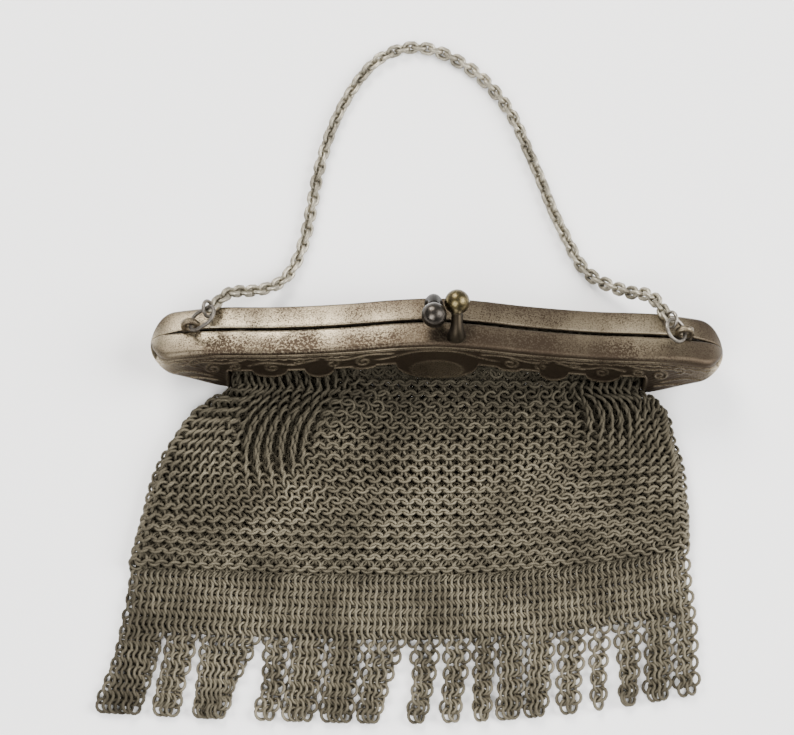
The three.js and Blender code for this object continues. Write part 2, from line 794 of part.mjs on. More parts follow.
// The whole chain: links along the route, each turned a quarter round from the last. Each pair is joined
// where its two end flats bear on each other: those two facets open into a short neck. An odd number of
// links turns the first and the last the same way.
function chain(start, end) {
  const from = (across) => ([x, y, z]) => new THREE.Vector3(across + x, y, z);
  const leads = [rightLead.map(from(start.x)), leftLead.map(from(end.x))];
  const routePoints = [start, ...leads[0], ...chainRoute.map(from(0)), ...leads[1], end];
  const route = new THREE.CatmullRomCurve3(routePoints, false, 'centripetal');
  route.arcLengthDivisions = 2000;
  const pitch = 2 * endFlatReach - linkNeck;
  const count = 2 * Math.round((route.getLength() / pitch - 1) / 2) + 1;
  const points = [];
  const index = [];
  const addQuad = ([a, b, c, d]) => index.push(a, b, c, a, c, d);
  const leadingEnd = linkSides - 1;
  const trailingEnd = linkSides / 2 - 1;
  for (let k = 0; k < count; k += 1) {
    const share = (k + 0.5) / count;
    const along = route.getTangentAt(share);
    const level = new THREE.Vector3(-along.y, along.x, 0).normalize();
    const width = level.applyAxisAngle(along, Math.PI / 4 + (k % 2) * Math.PI / 2);
    const normal = new THREE.Vector3().crossVectors(along, width);
    const base = points.length;
    points.push(...linkPoints(route.getPointAt(share), along, width, normal));
    for (let i = 0; i < linkSides; i += 1) {
      for (let j = 0; j < wireSides; j += 1) {
        const opensAhead = i === leadingEnd && k + 1 < count;
        const opensBehind = i === trailingEnd && k > 0;
        if (j !== innerFlat || !(opensAhead || opensBehind)) {
          addQuad(facet(base, i, j));
        }
      }
    }
    if (k > 0) {
      const near = facet(base - linkSides * wireSides, leadingEnd, innerFlat);
      const far = facet(base, trailingEnd, innerFlat);
      const apart = (shift) => near.reduce(
        (sum, corner, n) => sum + points[corner].distanceTo(points[far[(shift + 4 - n) % 4]]), 0,
      );
      const shift = [0, 1, 2, 3].reduce((best, next) => (apart(next) < apart(best) ? next : best));
      for (let n = 0; n < 4; n += 1) {
        addQuad([near[n], near[(n + 1) % 4], far[(shift + 3 - n) % 4], far[(shift + 4 - n) % 4]]);
      }
    }
  }
  const geometry = new THREE.BufferGeometry();
  const positions = points.flatMap((point) => [point.x, point.y, point.z]);
  geometry.setAttribute('position', new THREE.Float32BufferAttribute(positions, 3));
  geometry.setIndex(index);
  geometry.computeVertexNormals();
  return geometry;
}

// A round or oval wire ring about a centre, with its length towards one direction and facing another
function wireRing(long, wide, wire, centre, towards, facing) {
  const radius = (wide - wire) / 2;
  const geometry = new THREE.TorusGeometry(radius, wire / 2, 5, 12);
  const position = geometry.attributes.position;
  for (let k = 0; k < position.count; k += 1) {
    const x = position.getX(k);
    const y = position.getY(k);
    position.setX(k, x + 0.5 * (long - wide) * x / Math.hypot(x, y));
  }
  const normal = facing.clone().normalize();
  const side = new THREE.Vector3().crossVectors(normal, towards).normalize();
  const length = new THREE.Vector3().crossVectors(side, normal);
  geometry.applyMatrix4(new THREE.Matrix4().makeBasis(length, side, normal).setPosition(centre));
  return geometry;
}

// The two rings at one end, and the point where the chain starts
function endRings(row, suffix) {
  const mirrored = (values) => new THREE.Vector3(row.end * values[0], values[1], values[2]);
  const hole = new THREE.Vector3(
    row.end * earAcross,
    earThickness / 2 + earClearance - frameGap / 2,
    ledgeHeight(earAcross) + earLift,
  );
  const toHole = mirrored(row.toHole).normalize();
  const jumpMiddle = hole.clone().addScaledVector(toHole, -(row.long - ringWire) / 2);
  const connectorMiddle = jumpMiddle.clone().add(mirrored(row.toConnector));
  const jump = wireRing(row.long, row.wide, ringWire, jumpMiddle, toHole, mirrored(row.facing));
  const facing = mirrored(row.connectorFacing);
  const size = connectorDiameter;
  const connector = wireRing(size, size, connectorWire, connectorMiddle, toHole, facing);
  addPiece(frame, `jump_ring_${suffix}`, jump, finish(ringColour, 0.4));
  addPiece(frame, `connector_ring_${suffix}`, connector, finish(ringColour, 0.4));
  const middle = fromFrame(connectorMiddle.x, connectorMiddle.z, connectorMiddle.y);
  return middle.add(mirrored(row.toChain));
}

const chainStart = endRings(ringTable[0], 'right');
const chainEnd = endRings(ringTable[1], 'left');
addPiece(purse, 'chain', chain(chainStart, chainEnd), finish(linkColour, 0.45));
addPiece(purse, 'pouch', sack(), finish(sackColour, 0.55));
addPiece(purse, 'fringe', fringe(), finish(fringeColour, 0.55));

// The origin is the middle of the purse's outline, on the table
const bounds = new THREE.Box3().setFromObject(purse, true);
purse.position.set(-(bounds.min.x + bounds.max.x) / 2, -(bounds.min.y + bounds.max.y) / 2, -bounds.min.z);

export default purse;
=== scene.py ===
# %% [markdown]
# # A ring mesh purse on an engraved frame
# The purse lies on a table with its frame standing up on its own legs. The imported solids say
# where each part is. Here each soft or finely worked part is made again in more detail, in the
# same place and size, and every part gets its finish.

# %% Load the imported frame
import math
import bpy
import numpy as np
from mathutils import Matrix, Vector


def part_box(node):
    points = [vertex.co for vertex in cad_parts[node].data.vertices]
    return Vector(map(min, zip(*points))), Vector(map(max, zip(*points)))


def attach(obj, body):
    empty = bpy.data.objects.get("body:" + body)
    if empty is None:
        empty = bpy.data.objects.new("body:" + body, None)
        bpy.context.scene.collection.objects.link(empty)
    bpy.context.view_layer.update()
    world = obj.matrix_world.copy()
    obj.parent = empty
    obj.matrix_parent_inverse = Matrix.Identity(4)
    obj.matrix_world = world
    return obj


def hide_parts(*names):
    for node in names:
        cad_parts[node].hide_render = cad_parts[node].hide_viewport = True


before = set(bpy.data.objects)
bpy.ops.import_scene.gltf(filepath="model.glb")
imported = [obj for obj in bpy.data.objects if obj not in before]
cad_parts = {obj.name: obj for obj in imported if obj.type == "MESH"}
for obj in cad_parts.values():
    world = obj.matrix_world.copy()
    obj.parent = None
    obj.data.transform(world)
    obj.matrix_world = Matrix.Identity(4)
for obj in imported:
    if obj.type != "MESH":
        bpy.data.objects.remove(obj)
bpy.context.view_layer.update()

# %% [markdown]
# ## Axes of the leaning frame
# The frame leans back, so its details are easier to place along it, up it and through it. A
# parent object could hold that lean, but every finished piece has to sit unturned at the origin.
# So the lean is worked into the points. The two hinge pins say where the frame stands.

# %% Places in the frame and on the table
MM = 0.001
LEAN = math.radians(14)
HINGE_HEIGHT = 4.1
left_pin = np.array(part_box("hinge_pin_left")).mean(axis=0) / MM
right_pin = np.array(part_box("hinge_pin_right")).mean(axis=0) / MM
ORIGIN = (left_pin + right_pin) / 2 - HINGE_HEIGHT * np.array([0, math.sin(LEAN), math.cos(LEAN)])


def in_frame(along, up, through):
    """Millimetres along, up and through the frame -> table axes: up and through turn back by the lean."""
    along, up, through = np.broadcast_arrays(along, up, through)
    return np.stack([ORIGIN[0] + along,
                     ORIGIN[1] + up * math.sin(LEAN) + through * math.cos(LEAN),
                     ORIGIN[2] + up * math.cos(LEAN) - through * math.sin(LEAN)], axis=-1)


def on_table(x, y, z):
    """Millimetres from the foot of the frame's middle, with z from the table top."""
    x, y, z = np.broadcast_arrays(x, y, z)
    return np.stack([ORIGIN[0] + x, ORIGIN[1] + y, z * 1.0], axis=-1)


def turn_to_table(vectors):
    """Directions along, up and through the frame -> directions in the table's axes."""
    vectors = np.asarray(vectors, float)
    return in_frame(vectors[..., 0], vectors[..., 1], vectors[..., 2]) - ORIGIN


def unit(vectors):
    """Each vector divided by its own length."""
    return vectors / np.maximum(np.linalg.norm(vectors, axis=-1, keepdims=True), 1e-12)


def run_along(points):
    """Distance along a line to each of its points: the sum of the steps before it."""
    return np.concatenate([[0], np.cumsum(np.linalg.norm(np.diff(points, axis=0), axis=1))])


def read_line(places, run, points):
    """Points of a line at the given distances along it."""
    return np.stack([np.interp(places, run, column) for column in points.T], axis=1)


print("frame foot", ORIGIN.round(3))

# %% [markdown]
# ## From arrays to meshes
# A surface is worked out as a whole array of points. The faces follow from the grid's row and
# column numbers alone. One helper puts both into a mesh, and turns the faces round if the
# closed volume comes out negative, so that every skin faces outwards.

# %% Grid faces and pieces
def grid_faces(rows, columns, wrap_rows=False, wrap_columns=False):
    """Four corners for each cell of a grid that is numbered row by row."""
    i = np.arange(rows if wrap_rows else rows - 1)[:, None]
    j = np.arange(columns if wrap_columns else columns - 1)[None, :]
    below, beside = (i + 1) % rows, (j + 1) % columns
    corners = [i * columns + j, i * columns + beside, below * columns + beside, below * columns + j]
    return np.stack(np.broadcast_arrays(*corners), axis=-1).reshape(-1, 4)


def fan_faces(rim, hub):
    """Triangles from a hub to each side of a closed rim."""
    return np.stack([rim, np.roll(rim, -1), np.full(len(rim), hub)], axis=-1)


def signed_volume(points, faces):
    """Sum over the triangles of the fans of a dot (b cross c), divided by six."""
    total = 0.0
    for k in range(1, faces.shape[1] - 1):
        a, b, c = points[faces[:, 0]], points[faces[:, k]], points[faces[:, k + 1]]
        total += np.einsum("ij,ij->", a, np.cross(b, c)) / 6
    return total


def add_object(name, data):
    """A new object in the scene, at the origin, that holds the data."""
    thing = bpy.data.objects.new(name, data)
    bpy.context.scene.collection.objects.link(thing)
    return thing


def make_piece(name, points, faces, material, slot, stands_for=(), **marks):
    """A mesh object at the origin from points in mm and face arrays; each mark is a number per point."""
    middle = points.mean(axis=0)
    if sum(signed_volume(points - middle, part) for part in faces) < 0:
        faces = [part[:, ::-1] for part in faces]
    corners = np.concatenate([part.ravel() for part in faces]).astype(np.int32)
    sizes = np.concatenate([np.full(len(part), part.shape[1]) for part in faces])
    mesh = bpy.data.meshes.new(name)
    mesh.vertices.add(len(points))
    mesh.vertices.foreach_set("co", (points * MM).astype(np.float32).ravel())
    mesh.loops.add(len(corners))
    mesh.loops.foreach_set("vertex_index", corners)
    mesh.polygons.add(len(sizes))
    mesh.polygons.foreach_set("loop_start", np.concatenate([[0], np.cumsum(sizes)[:-1]]).astype(np.int32))
    mesh.polygons.foreach_set("use_smooth", np.ones(len(sizes), bool))
    mesh.update(calc_edges=True)
    for mark, values in marks.items():
        layer = mesh.attributes.new(mark, "FLOAT", "POINT")
        layer.data.foreach_set("value", np.asarray(values, np.float32))
    mesh.materials.append(material)
    piece = add_object(name, mesh)
    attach(piece, "root")
    for node in stands_for:
        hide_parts(node)
    print(f"{name}: {int((sizes - 2).sum())} triangles")


# %% [markdown]
# ## Smooth lines through a few points
# A maker bends a strip round a few pins. The same idea works here: a cubic runs through each
# pair of points, with the slope at each point taken from its neighbours. It is smooth, it
# passes through every point, and it needs no library.

# %% Smooth line
def smooth_line(knots, values, places):
    """Cubic through values at knots, with slopes from the two neighbours, read at the places."""
    knots, values, places = (np.asarray(a, float) for a in (knots, values, places))
    flat = values.reshape(len(knots), -1)
    slopes = np.gradient(flat, knots, axis=0)
    k = np.clip(np.searchsorted(knots, places, side="right") - 1, 0, len(knots) - 2)
    width = (knots[k + 1] - knots[k])[:, None]
    t = ((places - knots[k]) / (knots[k + 1] - knots[k]))[:, None]
    line = ((2 * t**3 - 3 * t**2 + 1) * flat[k] + (t**3 - 2 * t**2 + t) * width * slopes[k]
            + (3 * t**2 - 2 * t**3) * flat[k + 1] + (t**3 - t**2) * width * slopes[k + 1])
    return line.reshape((len(places),) + values.shape[1:])


def ramp(value, start, end):
    """0 before start, 1 after end, and half a cosine wave between them."""
    share = np.clip((value - start) / (end - start), 0, 1)
    return 0.5 - 0.5 * np.cos(np.pi * share)


# %% [markdown]
# ## Metals
# The purse is nickel silver or silver plate that has aged. It is not one colour: the high
# places are rubbed bright, the hollows hold dark tarnish, and the flat places have fine pits.
# Each metal is one shader with the same three parts. A broad noise shifts the tarnish, a fine
# noise makes the pits. A piece can also carry two attributes: corroded strengthens its pits, and
# the wear mark brightens it where it is rubbed and also holds painted light, namely painted shade
# on the mesh below the frame and a painted reflection and highlight on the ledges. So one material
# does for the whole frame.

# %% Metal shader
def metal(name, bright, dark, roughness, pits=0.3, pit_size=0.25, patch_size=9.0, wear_and_light_mark=False, corroded=False,
          bump=0.0):
    """Tarnished metal: dark and bright mixed by broad noise, pits and the wear mark, which also carries painted
    light. Sizes in mm.
    """
    material = bpy.data.materials.new(name)
    material.use_nodes = True
    tree = material.node_tree
    shader = tree.nodes["Principled BSDF"]
    shader.inputs["Metallic"].default_value = 1.0
    place = tree.nodes.new("ShaderNodeTexCoord")

    def noise(size, detail):
        node = tree.nodes.new("ShaderNodeTexNoise")
        node.inputs["Scale"].default_value = 1 / (size * MM)
        node.inputs["Detail"].default_value = detail
        tree.links.new(place.outputs["Object"], node.inputs["Vector"])
        return node.outputs["Fac"]

    def stretch(value, low, high, out_low=0.0, out_high=1.0):
        node = tree.nodes.new("ShaderNodeMapRange")
        for socket, number in zip(("From Min", "From Max", "To Min", "To Max"), (low, high, out_low, out_high)):
            node.inputs[socket].default_value = number
        tree.links.new(value, node.inputs["Value"])
        return node.outputs["Result"]

    def combine(operation, first, second):
        node = tree.nodes.new("ShaderNodeMath")
        node.operation = operation
        node.use_clamp = True
        for socket, value in zip(node.inputs, (first, second)):
            if isinstance(value, (int, float)):
                socket.default_value = value
            else:
                tree.links.new(value, socket)
        return node.outputs["Value"]

    def mark(name):
        node = tree.nodes.new("ShaderNodeAttribute")
        node.attribute_name = name
        return node.outputs["Fac"]

    clean_and_lit = stretch(noise(patch_size, 3.0), 0.38, 0.62, 0.45, 1.0)
    pitting = stretch(noise(pit_size, 2.0), 0.5, 0.62, 0.0, pits)
    clean_and_lit = combine("SUBTRACT", clean_and_lit, pitting)
    if corroded:
        coarse = stretch(noise(1.5 * pit_size, 3.0), 0.42, 0.55, 0.0, 0.95)
        clean_and_lit = combine("SUBTRACT", clean_and_lit, combine("MULTIPLY", coarse, mark("corroded")))
    # The wear mark brightens rubbed places and also carries painted shade and painted highlights.
    if wear_and_light_mark:
        clean_and_lit = combine("MULTIPLY", clean_and_lit, mark("wear"))
    mix = tree.nodes.new("ShaderNodeMix")
    mix.data_type = "RGBA"
    mix.inputs["A"].default_value = (*dark, 1)
    mix.inputs["B"].default_value = (*bright, 1)
    tree.links.new(clean_and_lit, mix.inputs["Factor"])
    tree.links.new(mix.outputs["Result"], shader.inputs["Base Color"])
    tree.links.new(stretch(clean_and_lit, 0.0, 1.0, min(1.0, roughness + 0.25), roughness), shader.inputs["Roughness"])
    if bump:
        relief = tree.nodes.new("ShaderNodeBump")
        relief.inputs["Distance"].default_value = bump * MM
        tree.links.new(clean_and_lit, relief.inputs["Height"])
        tree.links.new(relief.outputs["Normal"], shader.inputs["Normal"])
    return material


plate = metal("plate_with_painted_light", (0.56, 0.475, 0.325), (0.04, 0.029, 0.02), 0.3, pits=0.5, wear_and_light_mark=True, corroded=True,
              bump=0.03)
mesh_wire = metal("mesh_wire", (0.21, 0.186, 0.134), (0.062, 0.054, 0.039), 0.58, pits=0.2, wear_and_light_mark=True)
ring_wire = metal("ring_wire", (0.22, 0.2, 0.17), (0.04, 0.034, 0.03), 0.36, pits=0.3)
link_wire = metal("link_wire", (0.36, 0.33, 0.26), (0.08, 0.07, 0.05), 0.42, pits=0.3, patch_size=5)
ball_brass = metal("ball_brass", (0.15, 0.12, 0.055), (0.02, 0.016, 0.012), 0.22, pits=0.4, patch_size=2.5, wear_and_light_mark=True)
ball_dark = metal("ball_dark", (0.07, 0.061, 0.052), (0.018, 0.016, 0.014), 0.24, pits=0.3, patch_size=2.5, wear_and_light_mark=True)
pin_plate = metal("pin_plate", (0.4, 0.36, 0.3), (0.07, 0.06, 0.05), 0.4)
print("metals", [m.name for m in (plate, mesh_wire, ring_wire, link_wire, ball_brass, ball_dark, pin_plate)])

# %% [markdown]
# ## Outline of the frame
# The frame's long sides rise to the middle in a slow S, and its ends are round, with short legs
# that turn under. The outline is a smooth line through a few points on one half, mirrored. The
# same points shape the solid, so the two agree.

# %% Outline points
HALF_LENGTH = 52.3
HEIGHT = 15.7
HALF_DEPTH = 5.1
GAP = 0.9
outline_shares = np.array([
    [0, 1], [0.14, 0.96], [0.29, 0.876], [0.43, 0.815], [0.57, 0.775], [0.71, 0.762], [0.8, 0.742],
    [0.89, 0.69], [0.965, 0.6], [1, 0.45], [0.973, 0.32], [0.87, 0.165], [0.775, 0.04], [0.715, 0]])
right_half = outline_shares * [HALF_LENGTH, HEIGHT]
pins = np.vstack([right_half[:0:-1] * [-1, 1], right_half])
fine = smooth_line(np.arange(len(pins)), pins, np.linspace(0, len(pins) - 1, 4000))
LEG_INNER = 37.9
END_ROUND = 4.2
WALL = 6.2
LEDGE_END = 50.2
LEG_FOOT = 0.17
upper = fine[:, 1] > HEIGHT * 0.45


def ledge_height(along):
    """Height of the outline's upper run at places along the frame."""
    return np.interp(along, fine[upper, 0], fine[upper, 1])


print("outline length", round(float(run_along(fine)[-1]), 1), "mm")

# %% [markdown]
# ## Scalloped lower edge
# The walls end in a pierced-looking scallop: a deep lobe under the medallion and smaller ones
# beside it. Each lobe is half an oval that hangs below the plain edge, and the edge takes the
# lowest of them.

# %% Lower edge
lobes = np.array([[0, 0.28, 0.82], [0.25, 0.08, 0.14], [0.405, 0.1, 0.42], [0.578, 0.12, 0.34]])


def lobe_drop(along):
    """Extra drop of the edge: for each lobe a half oval of its width and depth, and 0 between them."""
    places = np.abs(along)[..., None]
    centre, half_width, depth = lobes[:, 0] * HALF_LENGTH, lobes[:, 1] * HALF_LENGTH / 2, lobes[:, 2] * WALL
    inside = np.clip(1 - ((places - centre) / half_width) ** 2, 0, None)
    return (depth * np.sqrt(inside)).max(axis=-1)


def edge_height(along):
    """Height of the scalloped edge along the frame."""
    return ledge_height(along) - WALL - lobe_drop(along)


print("edge at the middle", round(float(edge_height(np.array([0.0]))[0]), 2), "mm up")

# %% [markdown]
# ## Engraving on the walls
# The walls carry a double border line, a row of small arcs, leaf scrolls and an oval medallion
# with fine hatching. They were stamped from a die, so both ends mirror each other. A bump
# texture would need an image. Here the height of the relief is a sum of ridges, each a smooth
# hill across a line, and the same height later says where the plate is rubbed bright.

# %% Ridges and scrolls
def ridge(distance, width):
    """A smooth hill across a line: e to the minus (distance / width) squared."""
    return np.exp(-(distance / width) ** 2)


def distance_to_line(x, y, line):
    """Shortest distance from each point to the corners of a fine line."""
    flat = np.stack([x.ravel(), y.ravel()], axis=1)
    best = np.full(len(flat), 1e9)
    for piece in np.array_split(line, max(1, len(line) // 40)):
        gaps = flat[:, None, :] - piece[None, :, :]
        best = np.minimum(best, np.sqrt((gaps**2).sum(axis=2)).min(axis=1))
    return best.reshape(x.shape)


def scroll(x, below, size, turns, start, hand):
    """A leaf scroll as a spiral: its radius shrinks evenly as it turns from the start angle."""
    share = np.linspace(0, 1, 60)
    angle = start + hand * 2 * math.pi * turns * share
    radius = size * (1 - 0.82 * share)
    return np.stack([x + radius * np.cos(angle), below + radius * np.sin(angle)], axis=1)


def stem(points):
    """A smooth stem through a few places along the frame and below its ledge."""
    points = np.array(points, float)
    return smooth_line(np.arange(len(points)), points, np.linspace(0, len(points) - 1, 80))


scroll_lines = [
    stem([(8.0, 2.6), (12.5, 2.4), (16.5, 3.4), (20.0, 3.0)]),
    stem([(21.5, 2.8), (26.0, 4.2), (30.5, 3.4), (34.0, 4.4)]),
    stem([(34.5, 2.6), (38.5, 3.6), (42.5, 3.0), (46.0, 3.6)]),
    scroll(13.2, 4.4, 1.5, 1.3, -1.5, 1),
    scroll(18.8, 4.4, 1.3, 1.2, -1.2, -1),
    scroll(24.8, 3.0, 1.0, 1.2, 0.6, 1),
    scroll(29.8, 5.0, 1.3, 1.3, -1.6, 1),
    scroll(36.6, 4.8, 1.2, 1.3, -1.3, -1),
    scroll(40.4, 5.2, 1.5, 1.4, -1.5, 1),
    scroll(43.6, 2.9, 1.3, 1.3, 1.4, -1),
    stem([(41.0, 7.6), (43.5, 6.2), (46.0, 5.4), (48.0, 5.6)]),
    stem([(40.0, 9.0), (43.0, 8.0), (46.0, 7.4), (48.6, 7.4)]),
]
print("scroll lines", len(scroll_lines))

# %% [markdown]
# ## Height of the engraving
# A die presses all its lines at once, so where two cross the higher one wins and they don't add
# up. The medallion is laid over the rest with its own hatching.

# %% Height of the engraving
MEDALLION = np.array([5.2, 2.9])
MEDALLION_BELOW = 8.1
RELIEF = 0.2


def engraving(x, below, rim):
    """Relief from 0 to about 1 at places along the frame, below the ledge, and off the lower edge."""
    side = np.abs(x)
    border = ridge(below - 1.05, 0.16) + 0.8 * ridge(below - 1.55, 0.13)
    arcs = ridge(below - 2.15 - 0.35 * np.abs(np.sin(np.pi * side / 1.9)), 0.14) * ramp(side, 14, 17)
    arch = ridge(below - 2.2 - 2.0 * ramp(side, 2, 11), 0.15) * (1 - ramp(side, 10, 12))
    leaves = np.zeros_like(x)
    for line in scroll_lines:
        leaves = np.maximum(leaves, ridge(distance_to_line(side, below, line), 0.24))
    veins = 0.12 * ridge(np.mod(0.8 * side + below, 0.9) - 0.45, 0.2) * ramp(side, 37, 40) * ramp(below, 3, 4)
    reach = np.sqrt((x / MEDALLION[0]) ** 2 + ((below - MEDALLION_BELOW) / MEDALLION[1]) ** 2)
    inside = 1 - ramp(reach, 0.9, 1.0)
    hatching = 0.3 * ridge(np.mod(x + below, 0.62) - 0.31, 0.14) * (1 - ramp(reach, 0.72, 0.82))
    rims = ridge(rim - 0.32, 0.22)
    shape = np.maximum.reduce([border, arcs, arch, leaves, veins, rims]) * (1 - inside)
    chased = 0.5 * ridge(np.mod(1.3 * x - 2 * below, 1.1) - 0.55, 0.2) * ramp(below, 8.2, 9.4)
    return shape + 0.35 * ridge(reach - 0.9, 0.08) + inside * (0.3 + hatching + chased)


# %% [markdown]
# ## The two halves of the frame
# Each half is one thin shell: a ledge beside the gap, a rounded corner, and a wall down to the
# scalloped edge. A flat sheet with Solidify would do for the walls alone. Carrying a closed
# profile along the outline gives ledge, corner, wall and the inside in one skin, with the same
# points along it everywhere, so the engraving only has to move points outwards.

# %% Carry the profile along the outline
WALL_THICKNESS = 0.8
STATIONS = 760
run_length = run_along(fine)
first = np.argmax(fine[:, 0] < -LEG_INNER)
last = len(fine) - 1 - np.argmax(fine[::-1, 0] > LEG_INNER)
stations = np.linspace(run_length[first], run_length[last], STATIONS)
spine = read_line(stations, run_length, fine)
ahead = unit(np.gradient(spine, axis=0))
inward = np.stack([ahead[:, 1], -ahead[:, 0]], axis=1)
on_top = (np.abs(spine[:, 0]) < LEG_INNER) & (spine[:, 1] > HEIGHT * 0.45)
leg_top = float(edge_height(np.array([LEG_INNER]))[0])
corner = np.flatnonzero(on_top)
target = np.stack([spine[:, 0], edge_height(np.clip(spine[:, 0], -LEG_INNER, LEG_INNER))], axis=1)
for part, sign in ((slice(0, corner[0]), -1), (slice(corner[-1] + 1, None), 1)):
    share = stations[part] - stations[part].min()
    share = share / share.max()
    share = 1 - share if sign < 0 else share
    target[part] = np.stack([np.full(len(share), sign * LEG_INNER), leg_top * (1 - share) + LEG_FOOT * share], axis=1)


def half_gap(x):
    """Half the gap between the two ledges: even along the frame, and nearly closed at both tips."""
    return GAP / 2 * (1 - 0.75 * ramp(np.abs(x), HALF_LENGTH - 7, HALF_LENGTH - 1.5))


def half_depth(x):
    """Half the frame's depth along it: straight sides, and a half oval in plan at each end."""
    past = np.clip(np.abs(x) - (HALF_LENGTH - END_ROUND), 0, None) / END_ROUND
    return np.maximum(HALF_DEPTH * np.sqrt(np.clip(1 - past**2, 0, None)), half_gap(x) + 0.02)


print("stations", STATIONS, "leg's inner edge", round(leg_top, 2), "mm high")

# %% [markdown]
# ## One half, twice
# Front and back are the same stamping, turned round. One function makes both, and a sign says
# which. It also marks where hands have rubbed the plate bright and where it has rotted, and it
# paints light into the same wear mark: a painted reflection that makes the ledges brighter on the
# left and a painted highlight along the gap.

# %% Build one half
LEDGE_STEPS, CORNER_STEPS, WALL_STEPS = 12, 8, 46


def frame_half(side):
    """Points, faces, wear with painted light, and rot of one half: ledge, corner and wall outside, then back up the
    inside.
    """
    share = np.linspace(0, 1, LEDGE_STEPS)[None, :]
    softness = 0.65 + 0.5 * ramp(np.abs(spine[:, :1]), 38, 46)
    depth, gap = half_depth(spine[:, :1]), half_gap(spine[:, :1])
    softness = np.minimum(softness, 0.96 * (depth - gap))
    ledge_through = gap + share * (depth - softness - gap)
    angle = np.linspace(0, np.pi / 2, CORNER_STEPS + 1)[None, 1:]
    corner_through = depth - softness + softness * np.sin(angle)
    corner_inset = softness * (1 - np.cos(angle))
    outer_inset = np.hstack([0 * ledge_through, corner_inset])
    outer = spine[:, None, :] + outer_inset[..., None] * inward[:, None, :]
    outer_through = np.hstack([ledge_through, corner_through])
    down = (np.linspace(0, 1, WALL_STEPS + 1) ** 1.4)[None, 1:, None]
    wall = outer[:, -1:, :] * (1 - down) + target[:, None, :] * down
    wall_through = half_depth(wall[..., 0])
    below = ledge_height(np.clip(wall[..., 0], -LEDGE_END, LEDGE_END)) - wall[..., 1]
    rim = np.linalg.norm(wall - target[:, None, :], axis=2)
    fade = ramp(down[..., 0] * np.linalg.norm(target[:, None] - outer[:, -1:], axis=2), 0.0, 0.5)
    raised = engraving(wall[..., 0], below, rim) * fade
    wall_through = wall_through + RELIEF * raised
    skin = np.concatenate([outer, wall], axis=1)
    skin_through = np.hstack([outer_through, wall_through])
    back_wall = wall[:, ::-3]
    back_through = np.maximum(half_depth(back_wall[..., 0]) - WALL_THICKNESS, half_gap(back_wall[..., 0]) + 0.01)
    top = spine[:, None, :] + WALL_THICKNESS * inward[:, None, :]
    lid_share = np.linspace(1, 0, 4)[None, :]
    lid_depth = np.maximum(depth - WALL_THICKNESS, gap + 0.01)
    lid_through = gap + lid_share * (lid_depth - gap)
    lid = np.repeat(top, 4, axis=1)
    profile = np.concatenate([skin, back_wall, lid], axis=1)
    through = np.hstack([skin_through, back_through, lid_through])
    points = in_frame(profile[..., 0], profile[..., 1], side * through)
    rows, columns = points.shape[:2]
    points = points.reshape(-1, 3)
    faces = [grid_faces(rows, columns, wrap_columns=True)]
    for row, turn in ((0, 1), (rows - 1, -1)):
        rim_line = row * columns + np.arange(columns)
        hub = points[rim_line].mean(axis=0)
        points = np.vstack([points, hub])
        faces.append(fan_faces(rim_line, len(points) - 1)[:, ::turn])
    place_along = spine[:, :1]
    # Painted reflection: the ledges are brightest on the left, where the window is reflected, and fade towards the
    # right, a little brighter again near the right end; they are also darker towards both tips.
    rubbed_and_painted_sheen = 0.82 - (0.68 if side < 0 else 0.54) * ramp(place_along, -32, 6) + 0.18 * ramp(place_along, 28, 36)
    rubbed_and_painted_sheen = np.clip(rubbed_and_painted_sheen - 0.35 * ramp(np.abs(place_along), 42, 50), 0.1, 1)
    wear = np.full((rows, columns), 0.2)
    # Painted highlight: across the ledge it is brightest along the gap and fades towards the outer edge; the rounded
    # corner then darkens as it turns down to the wall.
    wear[:, :LEDGE_STEPS] = rubbed_and_painted_sheen * (1.15 - 0.7 * share**1.2)
    wear[:, LEDGE_STEPS:LEDGE_STEPS + CORNER_STEPS] = rubbed_and_painted_sheen * np.linspace(0.45, 0.2, CORNER_STEPS)
    near_tip = ramp(np.abs(wall[..., 0]), 42, 50)
    # The walls stay dark, brighter towards the tips and where the raised relief is rubbed bright.
    wear[:, LEDGE_STEPS + CORNER_STEPS:skin.shape[1]] = (
        0.04 + 0.16 * near_tip + 0.4 * ramp(np.abs(wall[..., 0]), 49, 51) + 0.36 * raised * (1 - 0.7 * near_tip))
    corroded = np.zeros((rows, columns))
    rot = (1.0 if side < 0 else 0.4) * (1 - 0.8 * ramp(np.abs(place_along), 38, 44))
    across_ledge = np.linspace(0, 1, LEDGE_STEPS + CORNER_STEPS)
    rot = rot * (0.7 + 0.3 * np.sin(place_along / 2.3)) * (0.25 + 0.75 * ramp(across_ledge, 0.05, 0.4))
    corroded[:, :LEDGE_STEPS + CORNER_STEPS] = rot
    ends = [0.2, 0.2]
    return points, faces, np.clip(np.append(wear, ends), 0, 1), np.append(corroded, ends)


for name, side in (("frame_front", -1), ("frame_back", 1)):
    points, faces, wear, corroded = frame_half(side)
    make_piece(name + "_engraved", points, faces, plate, "frame_metal", stands_for=[name], wear=wear,
               corroded=corroded)

# %% [markdown]
# ## Eyes and ears
# Small pierced plates hold the hinge pins and the chain's rings. Each is a flat washer with a
# short arm that reaches back to the wall or down to the ledge. A washer is a rectangle carried
# round a circle, so its hole is a real one, and the arm is a plain box that ends inside it.

